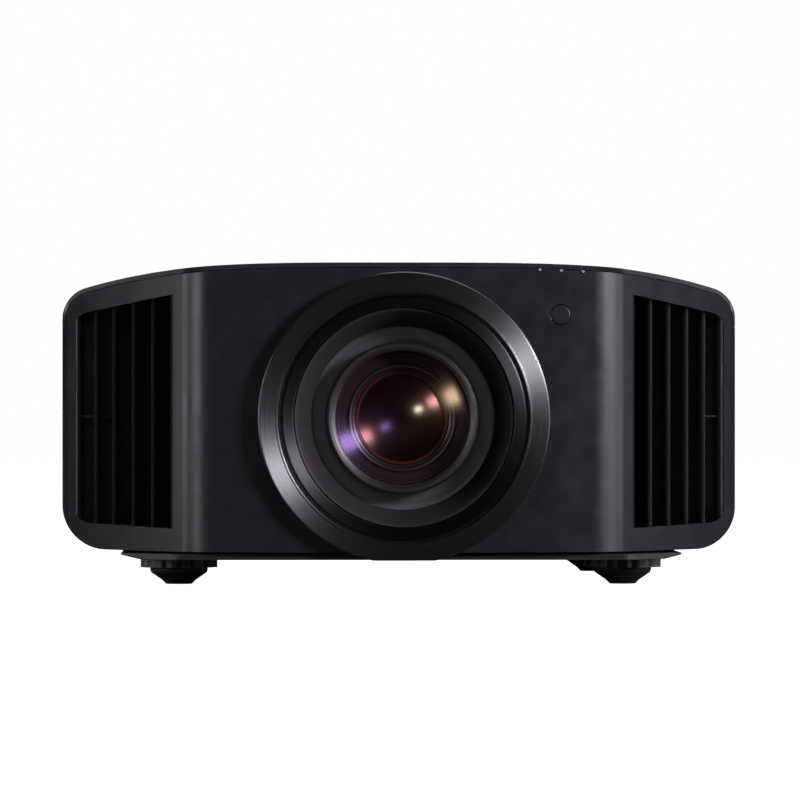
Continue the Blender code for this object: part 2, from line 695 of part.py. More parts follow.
def build_shift_stage():
    """The mount frame with its rods, the two carriages, and the motors with their lead screws."""
    z = LENS_Z
    plate = rectangle(-0.120, INSIDE_Z, 0.120, 0.212)
    frame = prism("lens_mount_frame", [plate, circle(0, z, 0.070, 40)], "Y", -0.085, -0.077, "alloy")
    for side, tag in ((-1, "left"), (1, "right")):
        x = side * ROD_X
        rod = cylinder("rod_" + tag, (x, STAGE_Y, 0.033), (x, STAGE_Y, 0.209), ROD_R, 12)
        low = box("low_lug_" + tag, (x - 0.006, -0.100, 0.030), (x + 0.006, -0.084, 0.0375))
        high = box("high_lug_" + tag, (x - 0.006, -0.100, 0.2055), (x + 0.006, -0.084, 0.2110))
        join(frame, low, high, rod)
    bore = ROD_R + GAP
    upright_plate = rectangle(-0.114, z - 0.0725, 0.114, z + 0.0725)
    vertical = prism("vertical_carriage", [upright_plate, circle(0, z, 0.0625, 40)], "Y", -0.101, -0.091,
                     "alloy")
    for side, tag in ((-1, "left"), (1, "right")):
        for level, word in ((-1, "low"), (1, "high")):
            lug_z = z + level * CROSS_ROD_DZ
            join(vertical, box("lug_%s_%s" % (word, tag), (side * 0.093 - 0.005, -0.111, lug_z - 0.005),
                               (side * 0.093 + 0.005, -0.100, lug_z + 0.005)))
        x = side * ROD_X
        cut(vertical, cylinder("rod_bore_" + tag, (x, STAGE_Y, 0), (x, STAGE_Y, 0.25), bore, 12))
    for level, word in ((-1, "low"), (1, "high")):
        rod_z = z + level * CROSS_ROD_DZ
        join(vertical, cylinder("cross_rod_" + word, (-0.095, CROSS_Y, rod_z), (0.095, CROSS_Y, rod_z),
                                ROD_R, 12))
    cut(vertical, cylinder("screw_bore", (SCREW_X, STAGE_Y, 0), (SCREW_X, STAGE_Y, 0.25), bore, 12))
    level_plate = rectangle(-0.080, z - 0.0715, 0.080, z + 0.0715)
    level_carriage = prism("horizontal_carriage", [level_plate, circle(0, z, TUBE_R + GAP, LENS_STEPS)], "Y",
                           -0.1107, -0.1033, "alloy")
    for level, word in ((-1, "low"), (1, "high")):
        rod_z = z + level * CROSS_ROD_DZ
        cut(level_carriage, cylinder("cross_bore_" + word, (-0.1, CROSS_Y, rod_z), (0.1, CROSS_Y, rod_z),
                                     bore, 12))
    screw_z = z + LEVEL_SCREW_DZ
    cut(level_carriage, cylinder("level_bore", (0.010, CROSS_Y, screw_z), (0.1, CROSS_Y, screw_z), 0.0028, 12))
    foot = Vector((SCREW_X, STAGE_Y, SCREW_LOW_Z))
    lead = cylinder("vertical_lead_screw", foot, (SCREW_X, STAGE_Y, 0.2040), ROD_R, 12, "steel")
    on_axis(lead, foot)
    cylinder("vertical_motor", (SCREW_X, STAGE_Y, 0.0215), (SCREW_X, STAGE_Y, 0.0402), 0.010, 20, "alloy")
    tail = Vector((LEVEL_SCREW_X, CROSS_Y, screw_z))
    level_lead = cylinder("horizontal_lead_screw", tail, (0.0985, CROSS_Y, screw_z), 0.0025, 12, "steel")
    on_axis(level_lead, tail)
    cylinder("horizontal_motor", (0.0989, CROSS_Y, screw_z), (0.1129, CROSS_Y, screw_z), 0.0055, 16, "alloy")


# ---------------------------------------------------------------- inside the case

def build_engine():
    """The optical engine, its light source and cooler, the boards and the power supply."""
    engine = box("light_engine", (-0.065, -0.050, 0.060), (0.065, 0.060, 0.185), "dark")
    port = cylinder("engine_port", (0, -0.06, LENS_Z), (0, -0.02, LENS_Z), 0.030, 24)
    cut(engine, port)
    for side, tag in ((-1, "left"), (1, "right")):
        low = (side * 0.050 - 0.012, -0.045, INSIDE_Z)
        join(engine, box("engine_leg_" + tag, low, (side * 0.050 + 0.012, 0.055, 0.061)))
    near, far = BLOCK_NEAR, BLOCK_FAR
    source_top, fin_top = 0.140, 0.195
    source = rounded([(-far, INSIDE_Z, 0), (-near, INSIDE_Z, 0), (-near, source_top, 0.006),
                      (-far, source_top, 0.006)], steps=3)
    prism("light_source", [source], "Y", -0.050, 0.090, "alloy")
    fins = 11
    pitch = (far - near) / (fins - 0.6)
    root = source_top + 0.007
    comb = [(-far, source_top + GAP), (-near, source_top + GAP)]
    for i in range(fins):
        right = -near - pitch * i
        left = right - pitch * 0.4
        if i > 0:
            comb.append((right, root))
        comb += [(right, fin_top), (left, fin_top)]
        if i < fins - 1:
            comb.append((left, root))
    prism("heat_sink", [comb], "Y", -0.048, 0.088, "alloy")
    board = box("main_board", (-0.145, 0.100, 0.0384), (0.140, 0.246, 0.0400), "board")
    for i, (x, y) in enumerate(((-0.135, 0.110), (0.130, 0.110), (-0.135, 0.236), (0.130, 0.236))):
        join(board, cylinder("standoff_%d" % i, (x, y, INSIDE_Z), (x, y, 0.0390), 0.003, 8))
    chip = box("processor", (-0.030, 0.140, 0.0395), (0.010, 0.180, 0.0440))
    memory = box("memory", (0.030, 0.145, 0.0395), (0.060, 0.160, 0.0420))
    join(board, chip, memory)
    supply = rounded([(near, INSIDE_Z, 0), (far, INSIDE_Z, 0), (far, 0.062, 0.004), (near, 0.062, 0.004)],
                     steps=3)
    prism("power_supply", [supply], "Y", -0.060, 0.095, "alloy")


def build_fan(side, tag):
    """An exhaust fan: the square frame with its hub spider, and the bladed rotor."""
    x = side * FAN_X
    z = FAN_Z
    back = FAN_Y + FAN_DEPTH
    square = rounded([(x - FAN_HALF, z - FAN_HALF, 0.006), (x + FAN_HALF, z - FAN_HALF, 0.006),
                      (x + FAN_HALF, z + FAN_HALF, 0.006), (x - FAN_HALF, z + FAN_HALF, 0.006)], steps=2)
    frame = prism("exhaust_fan_frame_" + tag, [square, circle(x, z, 0.0440, 24)], "Y", FAN_Y, back, "dark")
    join(frame, cylinder("spider_hub_" + tag, (x, back - 0.003, z), (x, back, z), 0.018, 16))
    join(frame, box("spider_level_" + tag, (x - 0.045, back - 0.003, z - 0.002),
                    (x + 0.045, back - 0.0002, z + 0.002)))
    rotor = cylinder("exhaust_fan_rotor_" + tag, (x, FAN_Y + 0.002, z), (x, back - 0.0035, z), 0.0175, 16,
                     "dark")
    for i in range(FAN_BLADES):
        blade = box("blade_%s_%d" % (tag, i), (0.012, -0.0006, -0.012), (0.0425, 0.0006, 0.012))
        spin = Matrix.Rotation(math.tau * i / FAN_BLADES, 4, "Y") @ Matrix.Rotation(math.radians(48), 4, "X")
        blade.data.transform(Matrix.Translation((x, FAN_Y + 0.0115, z)) @ spin)
        join(rotor, blade)
    on_axis(rotor, Vector((x, FAN_Y, z)))


# ---------------------------------------------------------------- rear

def build_sockets():
    """Box sockets that are open to the rear, the mains inlet with its three pins."""
    mouth_y = REAR_PANEL_Y + WALL + 0.0006
    for name, (x, z, width, height, depth, wall) in SOCKETS.items():
        low = (x - width / 2, mouth_y - depth, z - height / 2)
        high = (x + width / 2, mouth_y, z + height / 2)
        socket = box(name, low, high, "dark" if name == "mains_inlet" else "socket")
        hollow_low = (low[0] + wall, low[1] + 0.0015, low[2] + wall)
        hollow_high = (high[0] - wall, high[1] + 0.01, high[2] - wall)
        cut(socket, box(name + "_hollow", hollow_low, hollow_high))
        if name == "mains_inlet":
            for i, (dx, dz) in enumerate(MAINS_PINS):
                pin_low = (x + dx - 0.001, low[1] + 0.001, z + dz - 0.002)
                pin_high = (x + dx + 0.001, low[1] + 0.012, z + dz + 0.002)
                join(socket, box("mains_pin_%d" % i, pin_low, pin_high))


def build_buttons():
    """Round push buttons with a collar behind the rear panel."""
    front = -BUTTON_FRONT_Y
    collar = -(REAR_PANEL_Y - GAP)
    collar_r = BUTTON_R + 0.0016
    profile = [(0, collar + 0.0025), (collar_r, collar + 0.0025), (collar_r, collar), (BUTTON_R, collar),
               (BUTTON_R, front + 0.0004), (BUTTON_R - 0.0004, front), (0, front)]
    for name, (x, z) in BUTTONS.items():
        turned(name, profile, (x, 0, z), "Y", 16, "grille", closed=False)


def build_filter_cassette():
    """A slotted cassette that holds the dust filter and pulls out to the rear."""
    rim = 0.0055
    x0, z0, x1, z1 = FILTER
    holes = slots(x0 + rim, x1 - rim, z0 + rim, z1 - rim)
    prism("filter_cassette", [rectangle(*FILTER)] + holes, "Y", 0.2300, 0.2560, "grille")


def main():
    build_front_panel()
    build_top_cover()
    build_base_pan()
    build_rear_panel()
    for side, tag in ((-1, "left"), (1, "right")):
        build_vent_grille(side, tag)
        build_fan(side, tag)
    build_front_trim()
    build_feet()
    build_lens()
    build_shift_stage()
    build_engine()
    build_sockets()
    build_buttons()
    build_filter_cassette()


main()
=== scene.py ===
"""Looks of the home projector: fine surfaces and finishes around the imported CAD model."""
import math

import bmesh
import bpy
from mathutils import Euler, Matrix, Vector


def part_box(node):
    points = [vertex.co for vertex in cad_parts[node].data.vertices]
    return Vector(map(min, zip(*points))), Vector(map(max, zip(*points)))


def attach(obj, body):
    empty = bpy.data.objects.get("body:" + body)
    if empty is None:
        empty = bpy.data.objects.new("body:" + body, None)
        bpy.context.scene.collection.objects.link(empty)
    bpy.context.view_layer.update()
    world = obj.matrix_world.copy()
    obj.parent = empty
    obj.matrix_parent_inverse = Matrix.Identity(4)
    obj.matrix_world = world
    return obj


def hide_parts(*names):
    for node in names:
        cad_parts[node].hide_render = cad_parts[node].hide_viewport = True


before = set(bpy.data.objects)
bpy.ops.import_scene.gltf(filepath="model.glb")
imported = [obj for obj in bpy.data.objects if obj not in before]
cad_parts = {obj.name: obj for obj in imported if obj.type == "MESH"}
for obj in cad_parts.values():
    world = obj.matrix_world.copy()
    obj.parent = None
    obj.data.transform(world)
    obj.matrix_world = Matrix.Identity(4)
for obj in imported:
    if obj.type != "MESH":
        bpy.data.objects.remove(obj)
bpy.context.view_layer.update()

# ---------------------------------------------------------------- sizes taken from the frame

PANEL_LOW, PANEL_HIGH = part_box("front_panel")
COVER_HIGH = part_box("top_cover")[1]
CONE_LOW, CONE_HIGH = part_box("lens_recess_cone")
BEZEL_LOW, BEZEL_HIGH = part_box("lens_bezel")
IR_LOW, IR_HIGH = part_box("ir_window")

HALF_WIDTH = PANEL_HIGH.x
TOP_Z = COVER_HIGH.z
REAR_Y = COVER_HIGH.y
PANEL_Y = PANEL_LOW.y
SPLIT_Y = PANEL_HIGH.y
BOTTOM_Z = PANEL_LOW.z
PAN_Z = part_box("base_pan")[0].z
LENS_Z = (CONE_LOW.z + CONE_HIGH.z) / 2
LENS = Vector((0.0, PANEL_Y, LENS_Z))
BEZEL_R = BEZEL_HIGH.x
BEZEL_PROUD = PANEL_Y - BEZEL_LOW.y
IR_X = (IR_LOW.x + IR_HIGH.x) / 2
IR_Z = (IR_LOW.z + IR_HIGH.z) / 2

# the case's design, as the CAD model has it
SHOULDER_Z = 0.189
CROWN_FALL = 3.668
CROWN_POWER = 3.7
CROWN_R = 0.024
ARCH_STEPS = 48
CORNER_Z = 0.058
CORNER_R = 0.033
COVER_SIDE = 0.0017
COVER_TOP = 0.0035
GAP = 0.0003
WALL = 0.003
FLAT_HALF = 0.105
WING_X = 0.151
WING_Y = -0.2445
SIDE_Y = -0.138
CHEEK_X = 0.1395
CHEEK_R = 0.030
CHEEK_TURN = math.radians(77)
CHEEK_Y = PANEL_Y + 0.0018      # where the cheek's roll begins
DUCT_X = CHEEK_X + CHEEK_R * math.sin(CHEEK_TURN)
VENT_X = 0.2410
VENT_BACK_X = 0.2350
FLARE_Y = (-0.1500, -0.1350)
VENT_CORNER_R = 0.0125
FIN_XS = (0.1826, 0.1972, 0.2117, 0.2254)
FIN_RECESS = 0.007
FIN_BACK_Y = -0.130
RIB_Z = 0.123
RIB_Y = -0.143
RIB_HALF = 0.0007
FIN_LOW, FIN_HIGH = 0.030, 0.225
CUT_TOP = 0.25                  # cutters reach past the case on every side
CUT_FRONT = -0.30
LENS_HOLE_R = 0.0895
IR_HOLE_R = 0.0076
DIAL_WAVES = 12
DIAL_WAVE = 0.0013              # depth of a dial's scallops
DIAL_STEPS = 192
DIAL_BORE_R = 0.0065
FINE = 160                      # steps round a large ring
ELEMENT_EDGE = 0.0012           # thickness of a lens element's edge

AXIS_TURN = {"Y": Euler((math.pi / 2, 0, 0)), "Z": Euler((0, 0, 0))}


# ---------------------------------------------------------------- mesh helpers

def linked(name, mesh):
    """A new object in the scene."""
    made = bpy.data.objects.new(name, mesh)
    bpy.context.scene.collection.objects.link(made)
    return made


def evaluated_mesh(obj):
    """The object's mesh with its modifiers applied."""
    bpy.context.view_layer.update()
    return bpy.data.meshes.new_from_object(obj.evaluated_get(bpy.context.evaluated_depsgraph_get()))


def apply_modifiers(obj):
    """Turns the object's modifiers into plain geometry."""
    mesh = evaluated_mesh(obj)
    obj.modifiers.clear()
    obj.data = mesh
    return obj


def clean(mesh):
    """Welds a mesh and turns its faces outwards."""
    work = bmesh.new()
    work.from_mesh(mesh)
    bmesh.ops.remove_doubles(work, verts=work.verts, dist=0.000002)
    bmesh.ops.recalc_face_normals(work, faces=work.faces)
    work.to_mesh(mesh)
    work.free()


def prism(name, outlines, axis, low, high):
    """A flat outline, less any further outlines, drawn out along Y or Z."""
    curve = bpy.data.curves.new(name, "CURVE")
    curve.dimensions = "2D"
    curve.fill_mode = "BOTH"
    curve.extrude = (high - low) / 2
    for outline in outlines:
        spline = curve.splines.new("POLY")
        spline.points.add(len(outline) - 1)
        spline.use_cyclic_u = True
        for point, (a, b) in zip(spline.points, outline):
            point.co = (a, b, 0, 1)
    guide = linked(name, curve)
    mesh = evaluated_mesh(guide)
    bpy.data.objects.remove(guide)
    bpy.data.curves.remove(curve)
    middle = (low + high) / 2
    offset = Vector((0, middle, 0)) if axis == "Y" else Vector((0, 0, middle))
    mesh.transform(Matrix.Translation(offset) @ AXIS_TURN[axis].to_matrix().to_4x4())
    mesh.materials.clear()
    clean(mesh)
    return linked(name, mesh)


def boolean(piece, operation, *others):
    """Cuts, joins or keeps a piece with others, which are used up."""
    for other in others:
        step = piece.modifiers.new("step", "BOOLEAN")
        step.operation = operation
        step.solver = "EXACT"
        step.object = other
        apply_modifiers(piece)
        bpy.data.objects.remove(other)
    return piece


def soften(piece, width, angle=40, segments=2):
    """Rounds the edges that are sharper than an angle in degrees."""
    bevel = piece.modifiers.new("edges", "BEVEL")
    bevel.width = width
    bevel.segments = segments
    bevel.limit_method = "ANGLE"
    bevel.angle_limit = math.radians(angle)
    bevel.miter_outer = "MITER_ARC"
    return apply_modifiers(piece)


def smooth(piece, angle=32):
    """Smooth shading with sharp edges kept."""
    piece.data.shade_smooth()
    piece.data.set_sharp_from_angle(angle=math.radians(angle))
    even = piece.modifiers.new("even", "WEIGHTED_NORMAL")
    even.keep_sharp = True
    even.weight = 60
    return piece


def turned(name, profile, centre, axis="Y", steps=FINE, closed=True):
    """A profile of (radius, height) turned about an axis; height runs towards -Y, or up for Z."""
    area = 0.0
    for (r0, h0), (r1, h1) in zip(profile, profile[1:] + profile[:1]):
        area += r0 * h1 - r1 * h0
    points = list(profile)
    if closed and area > 0:
        points.reverse()
    count = len(points)
    edges = [(i, i + 1) for i in range(count - 1)]
    if closed:
        edges.append((count - 1, 0))
    mesh = bpy.data.meshes.new(name)
    mesh.from_pydata([(r, 0, h) for r, h in points], edges, [])
    piece = linked(name, mesh)
    screw = piece.modifiers.new("turn", "SCREW")
    screw.axis = "Z"
    screw.steps = steps
    screw.render_steps = steps
    screw.use_merge_vertices = True
    screw.merge_threshold = 0.000005
    screw.use_smooth_shade = True
    apply_modifiers(piece)
    piece.data.transform(Matrix.Translation(centre) @ AXIS_TURN[axis].to_matrix().to_4x4())
    clean(piece.data)
    return piece


def arc(x, z, radius, start, end, steps):
    """Points along an arc, from one angle to another."""
    return [(x + radius * math.cos(start + (end - start) * i / steps),
             z + radius * math.sin(start + (end - start) * i / steps)) for i in range(steps + 1)]


def rounded(corners, steps=12, closed=True):
    """An outline of (a, b, radius) corners with its corners rounded."""
    points = []
    count = len(corners)
    for i, (a, b, radius) in enumerate(corners):
        here = Vector((a, b))
        if radius == 0 or (not closed and i in (0, count - 1)):
            points.append((a, b))
            continue
        before = (Vector(corners[i - 1][:2]) - here).normalized()
        after = (Vector(corners[(i + 1) % count][:2]) - here).normalized()
        half = before.angle(after) / 2
        centre = here + (before + after).normalized() * (radius / math.sin(half))
        start = here + before * (radius / math.tan(half)) - centre
        end = here + after * (radius / math.tan(half)) - centre
        turn = start.angle_signed(end)
        for k in range(steps + 1):
            spoke = start.copy()
            spoke.rotate(Matrix.Rotation(-turn * k / steps, 2))
            points.append(tuple(centre + spoke))
    return points


def rounded_profile(corners, steps=4):
    """A turned profile with rounded corners, from (radius, height, rounding)."""
    return rounded(corners, steps)


def circle(x, z, radius, steps=FINE):
    """A round outline."""
    return [(x + radius * math.cos(math.tau * i / steps), z + radius * math.sin(math.tau * i / steps))
            for i in range(steps)]


def mirrored(points, side):
    """The same outline on the side with the sign of side."""
    return [(side * a, b) for a, b in points]


def rectangle(x0, z0, x1, z1):
    """A rectangular outline."""
    return [(x0, z0), (x1, z0), (x1, z1), (x0, z1)]


# ---------------------------------------------------------------- materials

class Nodes:
    """A small hand for wiring a node material."""

    def __init__(self, name):
        self.material = bpy.data.materials.new(name)
        self.material.use_nodes = True
        self.tree = self.material.node_tree
        self.shader = self.tree.nodes["Principled BSDF"]
        self.place = self.add("ShaderNodeTexCoord").outputs["Object"]

    def add(self, kind, **values):
        node = self.tree.nodes.new(kind)
        for key, value in values.items():
            setattr(node, key, value)
        return node

    def link(self, source, target):
        self.tree.links.new(source, target)

    def noise(self, scale, detail=2.0, rough=0.5, stretch=None):
        node = self.add("ShaderNodeTexNoise")
        node.inputs["Scale"].default_value = scale
        node.inputs["Detail"].default_value = detail
        node.inputs["Roughness"].default_value = rough
        source = self.place
        if stretch:
            mapping = self.add("ShaderNodeMapping")
            mapping.inputs["Scale"].default_value = stretch
            self.link(source, mapping.inputs["Vector"])
            source = mapping.outputs["Vector"]
        self.link(source, node.inputs["Vector"])
        return node.outputs["Fac"]

    def spread(self, value, low, high, start=0.3, end=0.7):
        node = self.add("ShaderNodeMapRange")
        self.link(value, node.inputs["Value"])
        node.inputs["From Min"].default_value = start
        node.inputs["From Max"].default_value = end
        node.inputs["To Min"].default_value = low
        node.inputs["To Max"].default_value = high
        return node.outputs["Result"]

    def math(self, operation, first, second):
        node = self.add("ShaderNodeMath", operation=operation)
        for slot, value in zip(node.inputs, (first, second)):
            if isinstance(value, (int, float)):
                slot.default_value = value
            else:
                self.link(value, slot)
        return node.outputs[0]

    def mix(self, share, first, second):
        node = self.add("ShaderNodeMix", data_type="RGBA")
        if isinstance(share, (int, float)):
            node.inputs[0].default_value = share
        else:
            self.link(share, node.inputs[0])
        for slot, value in zip((node.inputs[6], node.inputs[7]), (first, second)):
            if isinstance(value, tuple):
                slot.default_value = (*value, 1.0)
            else:
                self.link(value, slot)
        return node.outputs[2]

    def edges(self, radius):
        """(rounded normal, how much of an edge a point is on)."""
        bevel = self.add("ShaderNodeBevel", samples=4)
        bevel.inputs["Radius"].default_value = radius
        geometry = self.add("ShaderNodeNewGeometry")
        dot = self.add("ShaderNodeVectorMath", operation="DOT_PRODUCT")
        self.link(bevel.outputs["Normal"], dot.inputs[0])
        self.link(geometry.outputs["Normal"], dot.inputs[1])
        return bevel.outputs["Normal"], self.spread(dot.outputs["Value"], 1.0, 0.0, 0.80, 0.995)

    def bump(self, height, distance, strength=1.0, normal=None):
        node = self.add("ShaderNodeBump")
        node.inputs["Distance"].default_value = distance
        node.inputs["Strength"].default_value = strength
        self.link(height, node.inputs["Height"])
        if normal is not None:
            self.link(normal, node.inputs["Normal"])
        return node.outputs["Normal"]


def moulded(name, colour, tint, roughness, grain, depth, wear=0.35, specular=0.5):
    """Moulded or painted: a faint cloud in the colour, a fine grain, and paler rubbed edges."""
    n = Nodes(name)
    n.shader.inputs["Specular IOR Level"].default_value = specular
    normal, edge_share = n.edges(0.0004)
    cloud = n.spread(n.noise(14.0, 4.0), 0.0, 1.0)
    fine = n.noise(grain, 3.0, 0.6)
    streak = n.noise(220.0, 2.0)
    base = n.mix(cloud, colour, tint)
    speck = n.mix(n.spread(fine, 0.0, 0.35, 0.45, 0.8), base, tuple(min(1.0, c * 1.6) for c in tint))
    rubbed = n.math("MULTIPLY", edge_share, n.spread(streak, 0.0, wear, 0.35, 0.75))
    n.link(n.mix(rubbed, speck, tuple(min(1.0, c * 3.0 + 0.03) for c in tint)), n.shader.inputs["Base Color"])
    soft = n.spread(n.noise(60.0, 4.0), roughness - 0.05, roughness + 0.05)
    n.link(n.math("SUBTRACT", soft, n.math("MULTIPLY", rubbed, 0.12)), n.shader.inputs["Roughness"])
    n.link(n.bump(fine, depth, 0.6, normal), n.shader.inputs["Normal"])
    return n.material


def ring_radius(n, centre):
    """Distance from the lens axis, as a node value."""
    shift = n.add("ShaderNodeVectorMath", operation="SUBTRACT")
    n.link(n.place, shift.inputs[0])
    shift.inputs[1].default_value = centre
    flat = n.add("ShaderNodeVectorMath", operation="MULTIPLY")
    n.link(shift.outputs["Vector"], flat.inputs[0])
    flat.inputs[1].default_value = (1.0, 0.0, 1.0)
    length = n.add("ShaderNodeVectorMath", operation="LENGTH")
    n.link(flat.outputs["Vector"], length.inputs[0])
    return length.outputs["Value"]


def lathe_turned(name, colour, tint, roughness, pitch, depth, metallic=1.0, aniso=0.7):
    """Turned metal or plastic: fine concentric tool marks round the lens axis."""
    n = Nodes(name)
    n.shader.inputs["Metallic"].default_value = metallic
    n.shader.inputs["Anisotropic"].default_value = aniso
    n.shader.inputs["Anisotropic Rotation"].default_value = 0.25
    tangent = n.add("ShaderNodeTangent", direction_type="RADIAL", axis="Y")
    n.link(tangent.outputs["Tangent"], n.shader.inputs["Tangent"])
    normal, edge_share = n.edges(0.0003)
    radius = ring_radius(n, tuple(LENS))
    turns = n.math("MULTIPLY", radius, math.tau / pitch)
    wobble = n.math("MULTIPLY", n.noise(30.0, 2.0), 3.0)
    marks = n.math("SINE", n.math("ADD", turns, wobble), 0.0)
    band = n.add("ShaderNodeTexNoise", noise_dimensions="1D")
    n.link(radius, band.inputs["W"])
    band.inputs["Scale"].default_value = 900.0
    band.inputs["Detail"].default_value = 4.0
    bands = band.outputs["Fac"]
    base = n.mix(n.spread(bands, 0.0, 1.0), colour, tint)
    rubbed = n.math("MULTIPLY", edge_share, n.spread(n.noise(150.0, 2.0), 0.15, 0.6))
    n.link(n.mix(rubbed, base, tuple(min(1.0, c * 2.2 + 0.04) for c in tint)), n.shader.inputs["Base Color"])
    n.link(n.spread(bands, roughness - 0.05, roughness + 0.06), n.shader.inputs["Roughness"])
    height = n.math("ADD", n.math("MULTIPLY", marks, 0.4), bands)
    n.link(n.bump(height, depth, 0.7, normal), n.shader.inputs["Normal"])
    return n.material


COATING_HAZE = 0.01


def coated_glass(name, tint, strength, roughness):
    """A coated lens surface: nearly clear, with a tinted reflection that a faint haze spreads."""
    n = Nodes(name)
    output = n.tree.nodes["Material Output"]
    n.tree.nodes.remove(n.shader)
    clear = n.add("ShaderNodeBsdfTransparent")
    sharp = n.add("ShaderNodeBsdfGlossy")
    hazy = n.add("ShaderNodeBsdfGlossy")
    smear = n.noise(35.0, 3.0)
    n.link(n.spread(smear, roughness - 0.02, roughness + 0.02), sharp.inputs["Roughness"])
    n.link(n.spread(smear, 0.24, 0.32), hazy.inputs["Roughness"])
    fade = n.mix(n.spread(n.noise(9.0, 2.0), 0.0, 1.0), tint, tuple(c * 0.85 for c in tint))
    n.link(fade, sharp.inputs["Color"])
    n.link(n.mix(0.5, fade, tuple(c * c for c in tint)), hazy.inputs["Color"])
    both = n.add("ShaderNodeMixShader")
    both.inputs[0].default_value = COATING_HAZE
    n.link(sharp.outputs["BSDF"], both.inputs[1])
    n.link(hazy.outputs["BSDF"], both.inputs[2])
    facing = n.add("ShaderNodeFresnel")
    facing.inputs["IOR"].default_value = 1.3
    share = n.math("ADD", n.math("MULTIPLY", facing.outputs["Fac"], 0.2), strength)
    blend = n.add("ShaderNodeMixShader")
    n.link(n.math("MINIMUM", share, 1.0), blend.inputs[0])
    n.link(clear.outputs["BSDF"], blend.inputs[1])
    n.link(both.outputs["Shader"], blend.inputs[2])
    n.link(blend.outputs["Shader"], output.inputs["Surface"])
    return n.material


def metal(name, colour, roughness):
    """Plain worked metal with brushed streaks and handling marks."""
    n = Nodes(name)
    n.shader.inputs["Metallic"].default_value = 1.0
    normal, edge_share = n.edges(0.0003)
    streaks = n.noise(1.0, 4.0, 0.6, stretch=(400.0, 400.0, 4.0))
    cloud = n.noise(25.0, 3.0)
    dull = tuple(c * 0.78 for c in colour)
    base = n.mix(n.spread(streaks, 0.0, 1.0), colour, dull)
    bright = tuple(min(1.0, c * 1.25) for c in colour)
    n.link(n.mix(n.math("MULTIPLY", edge_share, 0.6), base, bright), n.shader.inputs["Base Color"])
    n.link(n.spread(cloud, roughness - 0.07, roughness + 0.09), n.shader.inputs["Roughness"])
    n.link(n.bump(streaks, 0.00002, 0.5, normal), n.shader.inputs["Normal"])
    return n.material


MATERIALS = {
    "case": moulded("satin_case", (0.0105, 0.0105, 0.0128), (0.0130, 0.0130, 0.0158), 0.345,
                    1400.0, 0.000025),
    "pan": moulded("pan_paint", (0.006, 0.0055, 0.006), (0.009, 0.0085, 0.009), 0.50,
                   900.0, 0.00005, wear=0.4),
    "grille": moulded("fin_plastic", (0.021, 0.021, 0.024), (0.027, 0.027, 0.031), 0.36,
                      1200.0, 0.00002),
    "trim": lathe_turned("turned_bezel", (0.22, 0.213, 0.22), (0.28, 0.271, 0.28), 0.44,
                         0.00045, 0.000006, aniso=0.95),
    "inner_trim": lathe_turned("turned_inner_ring", (0.062, 0.059, 0.062), (0.084, 0.080, 0.084), 0.46,
                               0.0005, 0.000006, aniso=0.9),
    "cone": lathe_turned("recess_black", (0.028, 0.025, 0.026), (0.038, 0.034, 0.035), 0.50,
                         0.0012, 0.00003, metallic=0.0, aniso=0.2),
    "cup": lathe_turned("cup_black", (0.22, 0.212, 0.22), (0.27, 0.26, 0.27), 0.38,
                        0.0010, 0.00001, metallic=0.9, aniso=0.2),
    "rim": lathe_turned("barrel_anodised", (0.14, 0.133, 0.138), (0.18, 0.171, 0.177), 0.44,
                        0.0004, 0.00001),
    "baffle": lathe_turned("baffle_brown", (0.030, 0.017, 0.018), (0.046, 0.024, 0.025), 0.34,
                           0.0009, 0.00001, metallic=0.5, aniso=0.3),
    "window": moulded("ir_filter", (0.017, 0.016, 0.020), (0.021, 0.020, 0.025), 0.30,
                      500.0, 0.000006),
    "lamp": moulded("lamp_guide", (0.30, 0.30, 0.33), (0.38, 0.38, 0.41), 0.30,
                    700.0, 0.00001),
    "rubber": moulded("foot_black", (0.007, 0.007, 0.008), (0.011, 0.011, 0.012), 0.46,
                      800.0, 0.00006, wear=0.5),
    "dark": moulded("inner_black", (0.006, 0.006, 0.006), (0.010, 0.010, 0.010), 0.55,
                    900.0, 0.00004),
    "alloy": metal("cast_alloy", (0.55, 0.56, 0.58), 0.42),
    "steel": metal("ground_steel", (0.60, 0.60, 0.61), 0.28),
    "brass": metal("cut_brass", (0.70, 0.52, 0.24), 0.30),
    "socket": metal("plated_shell", (0.50, 0.50, 0.52), 0.30),
    "board": moulded("solder_mask", (0.010, 0.070, 0.028), (0.016, 0.090, 0.036), 0.38,
                     300.0, 0.00006),
    "gear": moulded("nylon", (0.52, 0.51, 0.47), (0.60, 0.59, 0.55), 0.45,
                    500.0, 0.00003),
    # painted reflection: this ring's red colour stands in for the red coating reflections seen inside the
    # lens
    "red": lathe_turned("painted_red_reflection_ring", (0.085, 0.016, 0.013), (0.130, 0.026, 0.020), 0.34,
                        0.0008, 0.00001, metallic=0.4),
    # painted reflection: the cell's dark red stands in for the red glow of the coatings deep in the lens
    "cell": lathe_turned("cell_painted_red_glow", (0.030, 0.006, 0.006), (0.050, 0.010, 0.009), 0.38,
                         0.0008, 0.00001, metallic=0.4, aniso=0.3),
    "hidden": moulded("flocked_black", (0.003, 0.003, 0.003), (0.005, 0.005, 0.005), 0.85,
                      900.0, 0.00004, wear=0.0, specular=0.1),
}
# tints of the lens coatings
VIOLET = (0.60, 0.36, 0.95)
PINK = (1.0, 0.42, 0.38)
AMBER = (1.0, 0.66, 0.40)
CREAM = (1.0, 0.86, 0.66)
BLUE = (0.45, 0.40, 1.0)


def place(piece, body, finish, node=None, angle=32):
    """Gives a new piece its finish and lets it ride on a body, in place of a CAD node if one is named."""
    piece.data.materials.clear()
    piece.data.materials.append(MATERIALS[finish])
    if angle:
        smooth(piece, angle)
    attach(piece, body)
    if node:
        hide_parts(node)
    return piece


# ---------------------------------------------------------------- outlines of the case

def crown_z(x, top):
    """Height of the crown over a point."""
    return TOP_Z - top - CROWN_FALL * abs(x) ** CROWN_POWER


